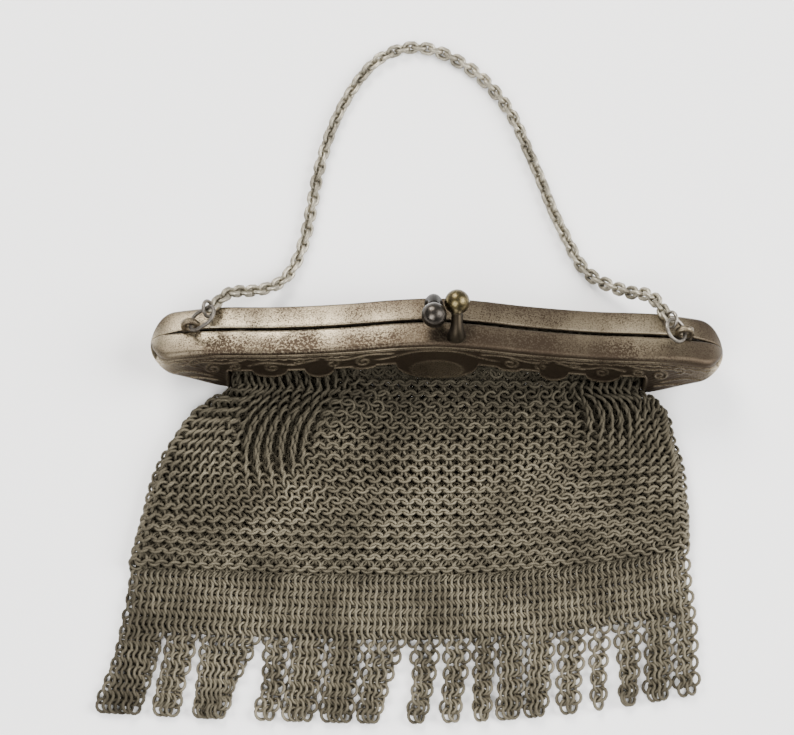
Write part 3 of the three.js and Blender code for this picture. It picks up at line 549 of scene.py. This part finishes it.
# %% Washers and arms
def washer(centre, axis, outer_radius, hole_radius, thickness, steps=28):
    """A rectangle carried round a circle about an axis: inner and outer radius by the plate's thickness."""
    axis = unit(np.array(axis, float))
    first = unit(np.cross(axis, [0.3, 0.5, 0.8]))
    second = np.cross(axis, first)
    turn = np.linspace(0, 2 * np.pi, steps, endpoint=False)[:, None, None]
    radius = np.array([hole_radius, outer_radius, outer_radius, hole_radius])[None, :, None]
    level = np.array([-1, -1, 1, 1])[None, :, None] * thickness / 2
    points = centre + radius * (np.cos(turn) * first + np.sin(turn) * second) + level * axis
    return points.reshape(-1, 3), grid_faces(steps, 4, wrap_rows=True, wrap_columns=True)


def arm(low, high):
    """The eight corners and six sides of a box in the frame's own directions."""
    corners = np.array([[x, u, w] for x in (low[0], high[0]) for u in (low[1], high[1]) for w in (low[2], high[2])])
    sides = np.array([[0, 1, 3, 2], [4, 6, 7, 5], [0, 4, 5, 1], [2, 3, 7, 6], [0, 2, 6, 4], [1, 5, 7, 3]])
    return corners, sides


def join(shapes):
    """Stacks point arrays and shifts each face array by the points before it."""
    points, faces, count = [], [], 0
    for shape_points, shape_faces in shapes:
        points.append(shape_points)
        faces.append(shape_faces + count)
        count += len(shape_points)
    return np.vstack(points), faces


def framed(shape):
    """A shape given along, up and through the frame, set in the table's axes."""
    return in_frame(shape[0][:, 0], shape[0][:, 1], shape[0][:, 2]), shape[1]


HINGE_ALONG = LEG_INNER + 1.0
EYE_RADIUS, EYE_HOLE, EYE_THICKNESS, EYE_STEP = 1.6, 0.9, 0.8, 1.1
eyes = []
for end in (-1, 1):
    for side, offset in ((-1, 0.4), (1, 0.4 + EYE_STEP)):
        middle = end * (HINGE_ALONG + offset)
        eyes.append(framed(washer(np.array([middle, HINGE_HEIGHT, 0.0]), [1, 0, 0], EYE_RADIUS, EYE_HOLE,
                                  EYE_THICKNESS)))
        low = [middle - EYE_THICKNESS / 2, HINGE_HEIGHT - 1.2, min(side * 1.1, side * 4.6)]
        high = [middle + EYE_THICKNESS / 2, HINGE_HEIGHT + 1.2, max(side * 1.1, side * 4.6)]
        eyes.append(framed(arm(low, high)))
points, faces = join(eyes)
make_piece("hinge_eyes", points, faces, plate, "frame_metal", wear=np.full(len(points), 0.3))

EAR_ALONG = HALF_LENGTH - 7.7
EAR_THROUGH = 0.3
EAR_LIFT = 1.2
EAR_RADIUS, EAR_HOLE, EAR_THICKNESS = 1.7, 0.85, 0.9
ear_height = float(ledge_height(EAR_ALONG)) + EAR_LIFT
ears = []
for end in (-1, 1):
    ears.append(framed(washer(np.array([end * EAR_ALONG, ear_height, EAR_THROUGH]), [0, 0, 1], EAR_RADIUS, EAR_HOLE,
                              EAR_THICKNESS)))
    ears.append(framed(arm([end * EAR_ALONG - 1.45, ear_height - 2.8, EAR_THROUGH - 0.42],
                           [end * EAR_ALONG + 1.45, ear_height - 0.95, EAR_THROUGH + 0.42])))
points, faces = join(ears)
make_piece("chain_ears", points, faces, plate, "frame_metal", wear=np.full(len(points), 0.4))

# %% [markdown]
# ## Clasp knobs
# Each half carries a ball on a bent stem. The stems cross, so the balls snap past each other.
# A sphere joined to a cylinder would show its seam. A round profile carried along a bent path
# makes foot, neck and ball in one skin: its radius is a smooth line through the foot's flare
# and the neck, and then the height of a circle across the ball.

# %% Carry a round profile along a path
def round_sweep(path, radii, sides):
    """Rings of the given radii square to a path, with the first direction kept along the frame."""
    along = unit(np.gradient(path, axis=0))
    side = np.array([1.0, 0.0, 0.0])
    lift = unit(np.cross(along, side))
    side = np.cross(lift, along)
    turn = np.linspace(0, 2 * np.pi, sides, endpoint=False)[None, :, None]
    points = path[:, None] + radii[:, None, None] * (np.cos(turn) * side[:, None] + np.sin(turn) * lift[:, None])
    rows = len(path)
    flat = points.reshape(-1, 3)
    faces = [grid_faces(rows, sides, wrap_columns=True)]
    for row, turn_back in ((0, 1), (rows - 1, -1)):
        flat = np.vstack([flat, path[row]])
        faces.append(fan_faces(row * sides + np.arange(sides), len(flat) - 1)[:, ::turn_back])
    return flat, faces


BALL_RADIUS, BALL_HEIGHT, BALL_CROSSING, ROOT_THROUGH = 2.25, 3.8, 1.5, 3.4
NECK_END, KNOB_SIDES = 0.92, 28
KNOBS = {"front": (3.3, -1, ball_brass, "knob_brass"), "back": (-0.8, 1, ball_dark, "knob_dark")}


def knob(across, side):
    """Foot, bent neck and ball: the path is a bent line to the ball's near face, then straight through it."""
    ledge = float(ledge_height(across))
    root = np.array([across, ledge + 0.25, side * ROOT_THROUGH])
    ball = np.array([across, ledge + BALL_HEIGHT, -side * BALL_CROSSING])
    bend = np.array([across, ledge + 0.8 * BALL_HEIGHT, side * ROOT_THROUGH])
    t = np.linspace(0, 1, 40)[:, None]
    neck = (1 - t) ** 2 * root + 2 * t * (1 - t) * bend + t**2 * ball
    reach = np.linalg.norm(ball - neck, axis=1)
    neck = neck[reach > NECK_END * BALL_RADIUS]
    aim = unit(ball - bend)
    angle = np.linspace(np.arccos(NECK_END), np.pi, 26)
    globe = ball - BALL_RADIUS * np.cos(angle)[:, None] * aim
    share = np.linspace(0, 1, len(neck))
    neck_radius = smooth_line([0, 0.15, 0.4, 0.7, 1.0], [1.68, 1.55, 1.28, 1.06, 1.04], share)
    globe_radius = np.maximum(BALL_RADIUS * np.sin(angle), 0.02)
    globe_radius[0] = max(globe_radius[0] * 0.95, 0.9)
    path = np.vstack([neck, globe])
    flat, faces = round_sweep(path, np.concatenate([neck_radius, globe_radius]), KNOB_SIDES)
    wear_and_light_mark = np.append(np.repeat(ramp(np.arange(len(path)), len(neck) - 2, len(neck) + 6), KNOB_SIDES), [0, 1])
    return in_frame(flat[:, 0], flat[:, 1], flat[:, 2]), faces, 0.05 + 0.95 * wear_and_light_mark


for name, (across, side, brass, slot) in KNOBS.items():
    points, faces, wear = knob(across, side)
    make_piece(f"clasp_ball_{name}", points, faces, brass, slot, stands_for=[f"clasp_knob_{name}"], wear=wear)

# %% [markdown]
# ## Rings and links
# Everything that hangs from the frame is bent wire: two rings at each end, the chain, and the
# thousands of tiny rings of the mesh. A torus primitive for each would be slow to make and heavy
# to keep. One function works out all rings of a kind at once: it needs their centres and two
# directions for each, and it gives one array of points.

# %% Many wire rings at once
def wire_rings(centres, first, second, long, wide, wire, round_steps, wire_steps):
    """For each ring a circle of wire, stretched along its first direction, with round wire about it."""
    turn = np.linspace(0, 2 * np.pi, round_steps, endpoint=False) + np.pi / round_steps
    roll = np.linspace(0, 2 * np.pi, wire_steps, endpoint=False)
    radius = (wide - wire) / 2 + wire / 2 * np.cos(roll)[None, :]
    first_part = radius * np.cos(turn)[:, None] + (long - wide) / 2 * np.sign(np.cos(turn))[:, None]
    second_part = radius * np.sin(turn)[:, None]
    normal_part = np.broadcast_to(wire / 2 * np.sin(roll), first_part.shape)
    normal = np.cross(first, second)
    local = np.stack([first_part, second_part, normal_part], axis=-1).reshape(-1, 3)
    frames = np.stack([first, second, normal], axis=1)
    points = centres[:, None, :] + np.einsum("pk,nkc->npc", local, frames)
    one = grid_faces(round_steps, wire_steps, wrap_rows=True, wrap_columns=True)
    starts = np.arange(len(centres))[:, None, None] * len(local)
    return points.reshape(-1, 3), (one[None] + starts).reshape(-1, 4)


RING_WIRE, CONNECTOR_WIRE, CONNECTOR_SIZE = 0.7, 0.65, 3.5
end_rings = {
    "right": (1, 5.0, 5.0, [0.818, -0.558, 0.138], [0.571, 0.817, -0.081], [-0.728, 0.083, 2.177],
              [-0.834, 0.457, -0.31], [-0.268, 0.023, -0.386]),
    "left": (-1, 6.5, 4.6, [0.771, -0.627, -0.106], [0.634, 0.771, 0.051], [-0.925, 0.074, 2.069],
             [-0.866, 0.473, -0.162], [-0.219, 0.068, -0.559]),
}
chain_ends = {}
for name, (end, long, wide, to_hole, facing, to_connector, connector_facing, to_chain) in end_rings.items():
    mirror = np.array([end, 1, 1])
    to_hole = unit(np.array(to_hole) * mirror)
    hole = np.array([end * EAR_ALONG, ear_height, EAR_THROUGH])
    middle = hole - to_hole * (long - RING_WIRE) / 2
    for kind, centre, face, size, wire in (
            ("jump_ring", middle, facing, (long, wide), RING_WIRE),
            ("connector_ring", middle + np.array(to_connector) * mirror, connector_facing,
             (CONNECTOR_SIZE, CONNECTOR_SIZE), CONNECTOR_WIRE)):
        axis = unit(turn_to_table(np.array(face) * mirror))
        across = unit(np.cross(axis, turn_to_table(to_hole)))
        place = in_frame(centre[0], centre[1], centre[2])
        points, faces = wire_rings(place[None], np.cross(across, axis)[None], across[None], *size, wire, 40, 12)
        make_piece(f"{kind}_wire_{name}", points, [faces], ring_wire, "ring_wire", stands_for=[f"{kind}_{name}"])
    chain_ends[name] = place + np.array(to_chain) * mirror
print("chain ends", {k: v.round(1) for k, v in chain_ends.items()})

# %% [markdown]
# ## Chain
# The chain leaves the right ring, falls over the back of the frame, makes its loop on the table
# and climbs to the left ring. It has a fixed number of equal links, so it isn't a cord that
# stretches to a length. Each link sits at an equal step along the route, and each is turned a
# quarter round from the last, with a slow twist as a loose chain has.

# %% Links along the route
route = np.array([
    [39.2, 11.2, 10.3], [35.6, 13.8, 6], [32.6, 16, 3.3], [29.8, 18.2, 1.6], [27.2, 21.3, 0.95],
    [24.6, 26.7, 0.87], [22.1, 32.5, 0.87], [19.9, 38.8, 0.87], [17.4, 45.2, 0.87], [15.1, 51.1, 0.87],
    [12.2, 56.1, 0.87], [7.9, 61.1, 0.87], [3.3, 64.5, 0.87], [-1.6, 66.6, 0.87], [-6.6, 66.7, 0.87],
    [-11.5, 64.3, 0.87], [-14.9, 60.5, 0.87], [-18.2, 54.7, 0.87], [-20.9, 47.8, 0.87], [-23, 39.2, 0.87],
    [-24.1, 31.8, 0.87], [-25.2, 25.4, 0.87], [-26.9, 20.2, 1], [-29.2, 16.5, 2], [-32, 14.2, 4],
    [-35, 12.6, 6.6], [-38, 10.9, 10.1]])
LINKS = 99
LINK_WIDE, LINK_WIRE = 2.65, 0.84
line = np.vstack([chain_ends["right"], on_table(route[:, 0], route[:, 1], route[:, 2]), chain_ends["left"]])
steps = np.concatenate([[0], np.cumsum(np.sqrt(np.linalg.norm(np.diff(line, axis=0), axis=1)))])
line = smooth_line(steps, line, np.linspace(0, steps[-1], 3000))
length = run_along(line)
places = (np.arange(LINKS) + 0.5) / LINKS * length[-1]
centres = read_line(places, length, line)
along = unit(read_line(places + 1, length, line) - read_line(places - 1, length, line))
level = unit(np.stack([-along[:, 1], along[:, 0], 0 * places], axis=1))
roll = np.pi / 4 + (np.arange(LINKS) % 2) * np.pi / 2 + 0.3 * np.sin(places / 9.0)
wide_way = np.cos(roll)[:, None] * level + np.sin(roll)[:, None] * np.cross(along, level)
link_long = length[-1] / LINKS + 2 * LINK_WIRE
points, faces = wire_rings(centres, along, wide_way, link_long, LINK_WIDE, LINK_WIRE, 18, 8)
lowest = points.reshape(LINKS, -1, 3)[..., 2].min(axis=1)
points.reshape(LINKS, -1, 3)[..., 2] += np.clip(0.02 - lowest, 0, None)[:, None]
make_piece("chain_links", points, [faces], link_wire, "chain_metal", stands_for=["chain"])
print("pitch", round(length[-1] / LINKS, 2), "mm over", round(length[-1], 1), "mm")

# %% [markdown]
# ## The sack as a flattened tube
# The mesh is a tube of linked rings, sewn to the frame at its mouth and closed at the bottom. A
# cloth simulation doesn't know that linked rings can crowd together but not stretch. So the
# sheet is a function of two numbers: how far down it a row is, and which column of rings. Every
# row is a flattened oval, with its middle, half thickness and slope from a short table.

# %% Rows of the sack
FOLD_REACH, FOLD_CREST, FOLD_RIGHT, FOLD_LEFT = 40.0, -10.0, 5.8, 1.0
BOTTOM_LEFT, BOTTOM_RIGHT = -54.5, 45.7
SACK_THICKNESS = 4.2
MESH_HALF = 0.73
MOUTH_HALF, CROWN_END = 37.6, 37.1
mouth_rows = np.array([[9.2, 1, 4.0, 14], [6.5, 0.45, 4.0, 14], [4.2, 0, 3.91, 16]])
sack_rows = np.array([
    [0.005, 3.45, 3.3, 38, 37.6, 37.6], [0.08, 2.55, 2.55, 66, 37.6, 37.6], [0.145, 2.31, 2.31, 82, 37.6, 37.6],
    [0.18, 2.27, 2.27, 88, 40, 40], [0.235, 2.23, 2.23, 90, 43.2, 41.9], [0.385, 2.15, 2.15, 90, 47.6, 43.3],
    [0.525, 2.1, 2.1, 90, 50.4, 44.8], [0.71, 2.1, 2.1, 90, 52.3, 45.4], [0.88, 1.97, 1.97, 90, 53.7, 45.7],
    [0.965, 1.68, 1.68, 90, 54.3, 45.7], [1.0, 1.18, 1.18, 90, 54.4, 45.7]])
folds = np.array([[-0.62, -0.86, 0.6, 0.05, 0.16], [-0.46, -0.64, 0.65, 0.05, 0.16],
                  [-0.3, -0.42, 0.55, 0.05, 0.14], [0.36, 0.42, 0.5, 0.05, 0.13], [0.54, 0.64, 0.6, 0.05, 0.15]])


def fold_depth(x):
    """How far below the frame the bottom lies: a parabola that rises towards each side."""
    rise = np.where(x > FOLD_CREST, FOLD_RIGHT, FOLD_LEFT)
    side = np.where(x > FOLD_CREST, BOTTOM_RIGHT, BOTTOM_LEFT)
    return FOLD_REACH - rise * ((x - FOLD_CREST) / (side - FOLD_CREST)) ** 2


def gather_height(x, down):
    """Soft ridges that start at the frame and fade as they fan out."""
    height = 0 * x
    for at, end, reach, width, size in folds:
        share = np.clip(down / reach, 0, 1)
        place = at + (end - at) * share
        height = height + size * np.cos(0.5 * np.pi * share) * np.exp(-((x / 50 - place) / width) ** 2)
    return height * SACK_THICKNESS * np.clip(down / 0.16, 0, 1)


rows_y = np.concatenate([mouth_rows[:, 0] * math.sin(LEAN), -sack_rows[:, 0] * FOLD_REACH])
rows_z = np.concatenate([ORIGIN[2] + mouth_rows[:, 0] * math.cos(LEAN), sack_rows[:, 1]])
rows_half = np.concatenate([mouth_rows[:, 2], sack_rows[:, 2]]) - MESH_HALF
rows_turn = np.radians(np.concatenate([mouth_rows[:, 3], sack_rows[:, 3]]))
rows_left = np.concatenate([[MOUTH_HALF] * 3, sack_rows[:, 4]]) - MESH_HALF
rows_right = np.concatenate([[MOUTH_HALF] * 3, sack_rows[:, 5]]) - MESH_HALF
rows_down = np.concatenate([[-0.3, -0.15, -0.06], sack_rows[:, 0]])
upper_line = np.stack([rows_y - rows_half * np.cos(rows_turn), rows_z + rows_half * np.sin(rows_turn)], axis=1)
row_knots = run_along(upper_line)
row_table = np.stack([rows_y, rows_z, rows_half, rows_turn, rows_left, rows_right, rows_down], axis=1)
print("length of the upper layer", round(row_knots[-1], 1), "mm")

# %% [markdown]
# ## Columns of rings
# The tube has the same number of columns from mouth to bottom. In the middle they hang straight
# down. Towards both ends they crowd together near the frame, because the frame is narrower than
# the mesh, and they fan out below it. That crowding is what makes the gathers.

# %% Sheet position of a column at a row
COLUMNS = 84
COLUMN_PITCH, ROW_PITCH = 1.195, 1.98
column_weight = np.interp(np.arange(COLUMNS), [0, 11, 15, 29, 33, 62, 67, 83],
                          [0.45, 0.45, 0.72, 0.72, 1, 1, 0.66, 0.5])
crowded = np.cumsum(column_weight) - column_weight / 2
crowded = 2 * crowded / column_weight.sum() - 1
even = (np.arange(COLUMNS) + 0.5) / COLUMNS * 2 - 1


def sheet(column, row, layer):
    """Middle of a ring: share round the flattened oval from the column, and the oval itself from the row."""
    y, z, half, turn, left, right, down = smooth_line(row_knots, row_table, row.ravel()).T
    crowding = 1 - ramp(down * FOLD_REACH, 12, 34)
    share = (crowding * np.interp(column.ravel(), np.arange(COLUMNS), crowded)
             + (1 - crowding) * np.interp(column.ravel(), np.arange(COLUMNS), even))
    straight = (left + right) / 2 - half
    run = share * (straight + np.pi / 2 * half)
    past = np.clip(np.abs(run) - straight, 0, None) / half
    x = (right - left) / 2 + np.sign(run) * (np.minimum(np.abs(run), straight) + half * np.sin(past))
    out = layer * half * np.cos(past)
    if layer > 0:
        out = out + gather_height(x, np.clip(down, 0, 1)) * np.cos(past)
    crown = np.interp(row.ravel(), row_knots[:3], mouth_rows[:, 1], right=0)
    crown = crown * (ledge_height(np.clip(x, -37, 37)) - ledge_height(CROWN_END))
    skew = np.where(down > 0, fold_depth(x) / FOLD_REACH, 1.0)
    y = np.where(down > 0, y * skew, y) + crown * math.sin(LEAN)
    z = z + crown * math.cos(LEAN)
    return on_table(x, y - out * np.cos(turn), z + out * np.sin(turn)).reshape(column.shape + (3,))


# %% [markdown]
# ## How the rings hang together
# This is the common weave of ring mesh: each ring holds four neighbours. Rings in one column
# all lean one way, and those in the next column lean the other way, half a step lower. Where
# columns crowd, they also roll like the leaves of a folding screen, which shows as bright
# streaks. Each ring gets its own small error of hand, from a seeded generator.

# %% Rings on a sheet
RING_RADIUS, RING_THICK, BACK_THICK = 1.14, 0.6, 0.78
RING_LEAN, GATHER_ROLL, FRINGE_TILT = math.radians(29), math.radians(76), math.radians(35)
hand = np.random.default_rng(7)


def pleats(x, below_frame):
    """1 in the sharp gathers and 0 elsewhere: a wedge at the left that narrows downwards, and a band at the right."""
    left = ramp(x, -37, -34) * (1 - ramp(x + 0.42 * below_frame, -18, -15)) * (1 - ramp(below_frame, 15, 28))
    right = ramp(x, 25, 28) * (1 - ramp(x, 35, 38)) * (1 - ramp(below_frame, 9, 17))
    return left + right


def lay_rings(place, beside, below, parity, lean, pitch, upright, wobble=0.07):
    """Centres and two directions for each ring, from points on the sheet and its two neighbours.

    The ring's first direction runs across the sheet, and its second down it, tipped out by the
    lean. Both roll about the way down until the crowded columns fit their width, and nearly on
    edge in the gathers.
    """
    across = beside - place
    down = unit(below - place)
    width = np.linalg.norm(across, axis=-1)
    across = unit(across - (across * down).sum(-1, keepdims=True) * down)
    out = np.cross(down, across) if upright else np.cross(across, down)
    sharp = 0 * width if upright else pleats(place[..., 0] - ORIGIN[0], ORIGIN[1] - place[..., 1])
    lean = lean * (1 - 1.1 * sharp)
    fold = (np.arccos(np.clip(width / pitch, 0.35, 1.0)) * (1 - sharp) + GATHER_ROLL * sharp) * parity
    count = place.shape[:-1]
    fold = (fold + hand.normal(0, wobble, count))[..., None]
    lean = (lean * parity + hand.normal(0, wobble, count))[..., None]
    first = np.cos(fold) * across + np.sin(fold) * out
    leaf = np.cos(fold) * out - np.sin(fold) * across
    second = np.cos(lean) * down + np.sin(lean) * leaf
    return place + hand.normal(0, 0.03, place.shape), first, second


def rest_on_table(centres, first, second, thick):
    """Lifts each ring that would sink: its half height is its radius times the slope of its face."""
    slope = np.sqrt(np.clip(1 - np.cross(first, second)[:, 2] ** 2, 0, 1))
    half_height = RING_RADIUS * slope + thick / 2
    lifted = centres.copy()
    lifted[:, 2] = np.maximum(centres[:, 2], half_height + 0.01)
    return lifted


def ring_piece(name, centres, first, second, wear, slot, stands_for, thick=RING_THICK):
    """One piece of mesh from ring places: twelve steps round each ring and five round its wire."""
    centres = rest_on_table(centres, first, second, thick)
    size = 2 * RING_RADIUS + thick
    points, faces = wire_rings(centres, first, second, size, size, thick, 12, 5)
    per_ring = len(points) // len(centres)
    make_piece(name, points, [faces], mesh_wire, slot, stands_for=stands_for, wear=np.repeat(wear, per_ring))


ROWS = int(row_knots[-1] / ROW_PITCH)
BACK_ROWS, BACK_REACH = int(1.25 * ROWS), 0.965
for layer, layer_name, rows, thick in ((1, "front", ROWS, RING_THICK), (-1, "back", BACK_ROWS, BACK_THICK)):
    column, step = np.meshgrid(np.arange(COLUMNS), np.arange(rows), indexing="ij")
    parity = np.where(column % 2 == 0, 1.0, -1.0)
    row = (step + 0.15 + 0.5 * (column % 2)) / (rows - 0.3) * row_knots[-1] * (1.0 if layer > 0 else BACK_REACH)
    place = sheet(column, row, layer)
    beside = sheet(np.minimum(column + 0.5, COLUMNS - 1), row, layer)
    beside = place + (beside - sheet(np.maximum(column - 0.5, 0), row, layer)) / np.where(
        (column == 0) | (column == COLUMNS - 1), 0.5, 1.0)[..., None]
    below = sheet(column, np.minimum(row + 0.4, row_knots[-1]), layer)
    below = np.where((row + 0.4 >= row_knots[-1])[..., None], 2 * place - sheet(column, row - 0.4, layer), below)
    centres, first, second = lay_rings(place, beside, below, parity * layer, RING_LEAN, COLUMN_PITCH,
                                       upright=layer < 0)
    # Painted shade: the front layer is dark close to the frame, where the frame's shadow falls, and brightens over
    # the first 24 mm below it; the back layer is fully bright. Both are a little darker towards the left end and
    # towards the right.
    far = place[..., 1] - ORIGIN[1]
    wear = (0.05 + 0.75 * ramp(-far, 0, 24) if layer > 0 else 1.0) + hand.normal(0, 0.07, far.shape)
    wear = wear * (1 - 0.25 * ramp(-(place[..., 0] - ORIGIN[0]), 42, 52))
    wear = wear * (1 - 0.25 * ramp(place[..., 0] - ORIGIN[0], 10, 34))
    whole = (column % 2 == 0) | (step < rows - 1)
    for half, side in (("left", column < COLUMNS // 2), ("right", column >= COLUMNS // 2)):
        keep = side & whole
        ring_piece(f"mesh_{layer_name}_{half}", centres[keep], first[keep], second[keep],
                   np.clip(wear[keep], 0.03, 1), "mesh_rings", ["pouch"], thick)

# %% [markdown]
# ## Band and fringe
# Below the bottom the mesh is a single layer, woven the other way: its rows run across. A band
# holds it together, and then it is slit into strips of a few rings each. Every strip is laid
# out between its own two edges, so the loops stick out along each slit.

# %% Strips of the fringe
BAND, FRINGE = 10.3, 15.5
BELOW = BAND + FRINGE
SPACING, STRIP_PITCH = 1.12, 1.47
hem = np.array([[0, 54.5, 45.7], [0.28, 55.2, 46.1], [0.55, 56.2, 46.7], [0.82, 58.2, 46.7], [1, 59.6, 46.7]])
slits = np.array([
    [0, 0, 0], [0.078, 0.087, 0.08], [0.137, 0.151, 0.12], [0.247, 0.238, 0.3], [0.297, 0.306, 0],
    [0.359, 0.367, 0], [0.424, 0.428, 0], [0.5, 0.493, 0.3], [0.559, 0.56, 0.13], [0.611, 0.614, 0.1],
    [0.654, 0.657, 0.05], [0.702, 0.706, 0], [0.756, 0.756, 0.09], [0.811, 0.809, 0.11], [0.8535, 0.855, 0.16],
    [0.9066, 0.902, 0.08], [0.959, 0.955, 0], [1, 1, 0]])


def hem_place(share, below):
    """Place along the purse at a share across, between the side lines at a distance below the bottom."""
    left = -np.interp(below / BELOW, hem[:, 0], hem[:, 1])
    right = np.interp(below / BELOW, hem[:, 0], hem[:, 2])
    return left + (right - left) * share


def slit_edge(slit, below, side):
    """One edge of a slit: its middle line moves from its top to its hem, and it opens on the way down."""
    down = np.clip((below - BAND) / FRINGE, 0, 1)
    x = hem_place(slit[0] + (slit[1] - slit[0]) * down, below)
    opening = np.maximum(slit[2] * FRINGE / 2 * np.minimum(1.6 * down, 0.8 + 0.2 * down), 0.08)
    opening = opening * ((slit[0] > 0) & (slit[0] < 1))
    return x + side * opening


EDGE_INSET = 0.95
FRINGE_LEVEL = 0.72
row_below = -0.9 + STRIP_PITCH * np.arange(int((BELOW + 0.3) / STRIP_PITCH) + 1)
in_band = row_below < BAND - 0.6


def strip_of_rings(near, far, rows, number):
    """Rows of rings between two slit edges: every second row has one ring less and sits half a step in."""
    left, right = slit_edge(near, row_below[rows], 1), slit_edge(far, row_below[rows], -1)
    width = right - left - 2 * EDGE_INSET
    count = max(2, int(round(width.mean() / SPACING)) + 1)
    odd = rows % 2
    share = (np.arange(count)[None, :] + 0.5 * odd[:, None]) / (count - 1)
    x = left[:, None] + EDGE_INSET + share * width[:, None]
    below = np.broadcast_to(row_below[rows][:, None], x.shape)
    lean_sign = np.broadcast_to(1 - 2.0 * odd[:, None], x.shape)
    strip = np.full(x.shape, float(number))
    return np.stack([x, -(fold_depth(x) + 0.3 + below), lean_sign, below, strip], axis=-1)[share <= 1.001]


row_numbers = np.arange(len(row_below))
strip_rings = [strip_of_rings(slits[0], slits[-1], row_numbers[in_band], -1)]
strip_rings += [strip_of_rings(slits[k], slits[k + 1], row_numbers[~in_band], k) for k in range(len(slits) - 1)]
x, y, lean_sign, below, strip = np.vstack(strip_rings).T
sway = ramp(below, BAND, BELOW)
x = x + sway * 0.2 * np.sin(1.7 * strip + below / 2.1)
place = on_table(x, y, FRINGE_LEVEL)
dark_left = ramp(-x, 44, 54)
across = np.tile([1.0, 0.0, 0.0], (len(x), 1))
down = np.tile([0.0, -1.0, 0.0], (len(x), 1))
tilt = FRINGE_TILT * lean_sign + hand.normal(0, 0.09, len(x)) + sway * hand.normal(0, 0.12, len(x))
spin = hand.normal(0, 0.06, len(x)) + sway * hand.normal(0, 0.14, len(x))
first = np.cos(spin)[:, None] * down + np.sin(spin)[:, None] * across
side_way = np.cos(spin)[:, None] * across - np.sin(spin)[:, None] * down
second = np.cos(tilt)[:, None] * side_way + np.sin(tilt)[:, None] * np.array([0, 0, 1.0])
wear = np.clip(0.8 - 0.5 * dark_left + hand.normal(0, 0.09, len(x)), 0.1, 1)
ring_piece("mesh_fringe", place, first, second, wear, "fringe_rings", ["fringe"])

# %% [markdown]
# ## Pins that stay as they are
# The hinge pins are small turned rivets inside the legs. The solids already have their shape,
# so they only get their metal.

# %% Finish of the pins
for name in ("hinge_pin_left", "hinge_pin_right"):
    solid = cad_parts[name]
    for slot in solid.material_slots:
        slot.material = pin_plate
print("pins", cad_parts["hinge_pin_left"].material_slots[0].material.name)

# %% [markdown]
# ## Table
# The purse lies on a plain pale table, one flat square that is wide enough to fill the picture.

# %% Table
table_size = 3.0
corners = np.array([[-1, -1, 0], [1, -1, 0], [1, 1, 0], [-1, 1, 0]]) * table_size / 2
table_mesh = bpy.data.meshes.new("table_top")
table_mesh.from_pydata(corners.tolist(), [], [(0, 1, 2, 3)])
table_top = add_object("table_top", table_mesh)
pale = bpy.data.materials.new("pale_table")
pale.use_nodes = True
pale_inputs = pale.node_tree.nodes["Principled BSDF"].inputs
pale_inputs["Base Color"].default_value = (0.93, 0.925, 0.92, 1)
pale_inputs["Roughness"].default_value = 0.8
table_mesh.materials.append(pale)
print("table", table_size, "m wide")

# %% [markdown]
# ## Light
# A broad soft light shines from above and behind, so the ledges are bright, and the walls and
# the mesh below them fall into shade. Two big lamps fill in from the side and the front. A big
# area lamp gives soft edges, where a point lamp would draw hard ones.

# %% Lights
def soft_light(name, place, target, size, power, colour=(1, 1, 1)):
    """A square area lamp at a place, aimed at a target."""
    data = bpy.data.lights.new(name, "AREA")
    data.size, data.energy, data.color = size, power, colour
    lamp = add_object(name, data)
    aim = np.array(target) - np.array(place)
    flat = math.hypot(aim[0], aim[1])
    lamp.location = place
    lamp.rotation_euler = (math.atan2(flat, -aim[2]), 0, math.atan2(aim[1], aim[0]) - math.pi / 2)


middle = (0.0, 0.0, 0.005)
soft_light("window", (-0.26, 0.5, 0.52), middle, 0.36, 8.5, (1.0, 0.97, 0.93))
soft_light("side_fill", (0.75, 0.0, 0.6), middle, 0.7, 22.0)
soft_light("front_fill", (-0.35, -0.6, 0.75), middle, 0.7, 15.0)
world = bpy.data.worlds.new("room")
bpy.context.scene.world = world
world.use_nodes = True
room = world.node_tree
room.nodes["Background"].inputs["Color"].default_value = (0.9, 0.9, 0.9, 1)
direction = room.nodes.new("ShaderNodeTexCoord")
parts = room.nodes.new("ShaderNodeSeparateXYZ")
brightness = room.nodes.new("ShaderNodeMapRange")
for socket, number in (("From Min", -0.6), ("From Max", 0.9), ("To Min", 0.12), ("To Max", 0.62)):
    brightness.inputs[socket].default_value = number
room.links.new(direction.outputs["Generated"], parts.inputs["Vector"])
room.links.new(parts.outputs["Y"], brightness.inputs["Value"])
room.links.new(brightness.outputs["Result"], room.nodes["Background"].inputs["Strength"])

# %% [markdown]
# ## Camera
# The camera looks steeply down from the fringe's side. Three directions and a place make its
# matrix, which is easier to check than three turns one after the other.

# %% Camera
ELEVATION, ROLL, VIEW_ANGLE = math.radians(71), math.radians(0.85), math.radians(24.29)
camera_place = on_table(-7.209, -111.691, 325.352) * MM
back = np.array([0, -math.cos(ELEVATION), math.sin(ELEVATION)])
up = np.array([0, math.sin(ELEVATION), math.cos(ELEVATION)])
right = np.array([1.0, 0, 0]) * math.cos(ROLL) + up * math.sin(ROLL)
up = np.cross(back, right)
camera_data = bpy.data.cameras.new("camera")
camera_data.angle = VIEW_ANGLE
camera = add_object("camera", camera_data)
matrix = np.eye(4)
matrix[:3, 0], matrix[:3, 1], matrix[:3, 2], matrix[:3, 3] = right, up, back, camera_place
camera.matrix_world = Matrix(matrix.tolist())
camera_data.clip_start, camera_data.clip_end = 0.01, 10
bpy.context.scene.camera = camera
print("camera", camera_place.round(4))

# %% [markdown]
# ## The end
# The view layer is brought up to date.

# %% The end
bpy.context.view_layer.update()
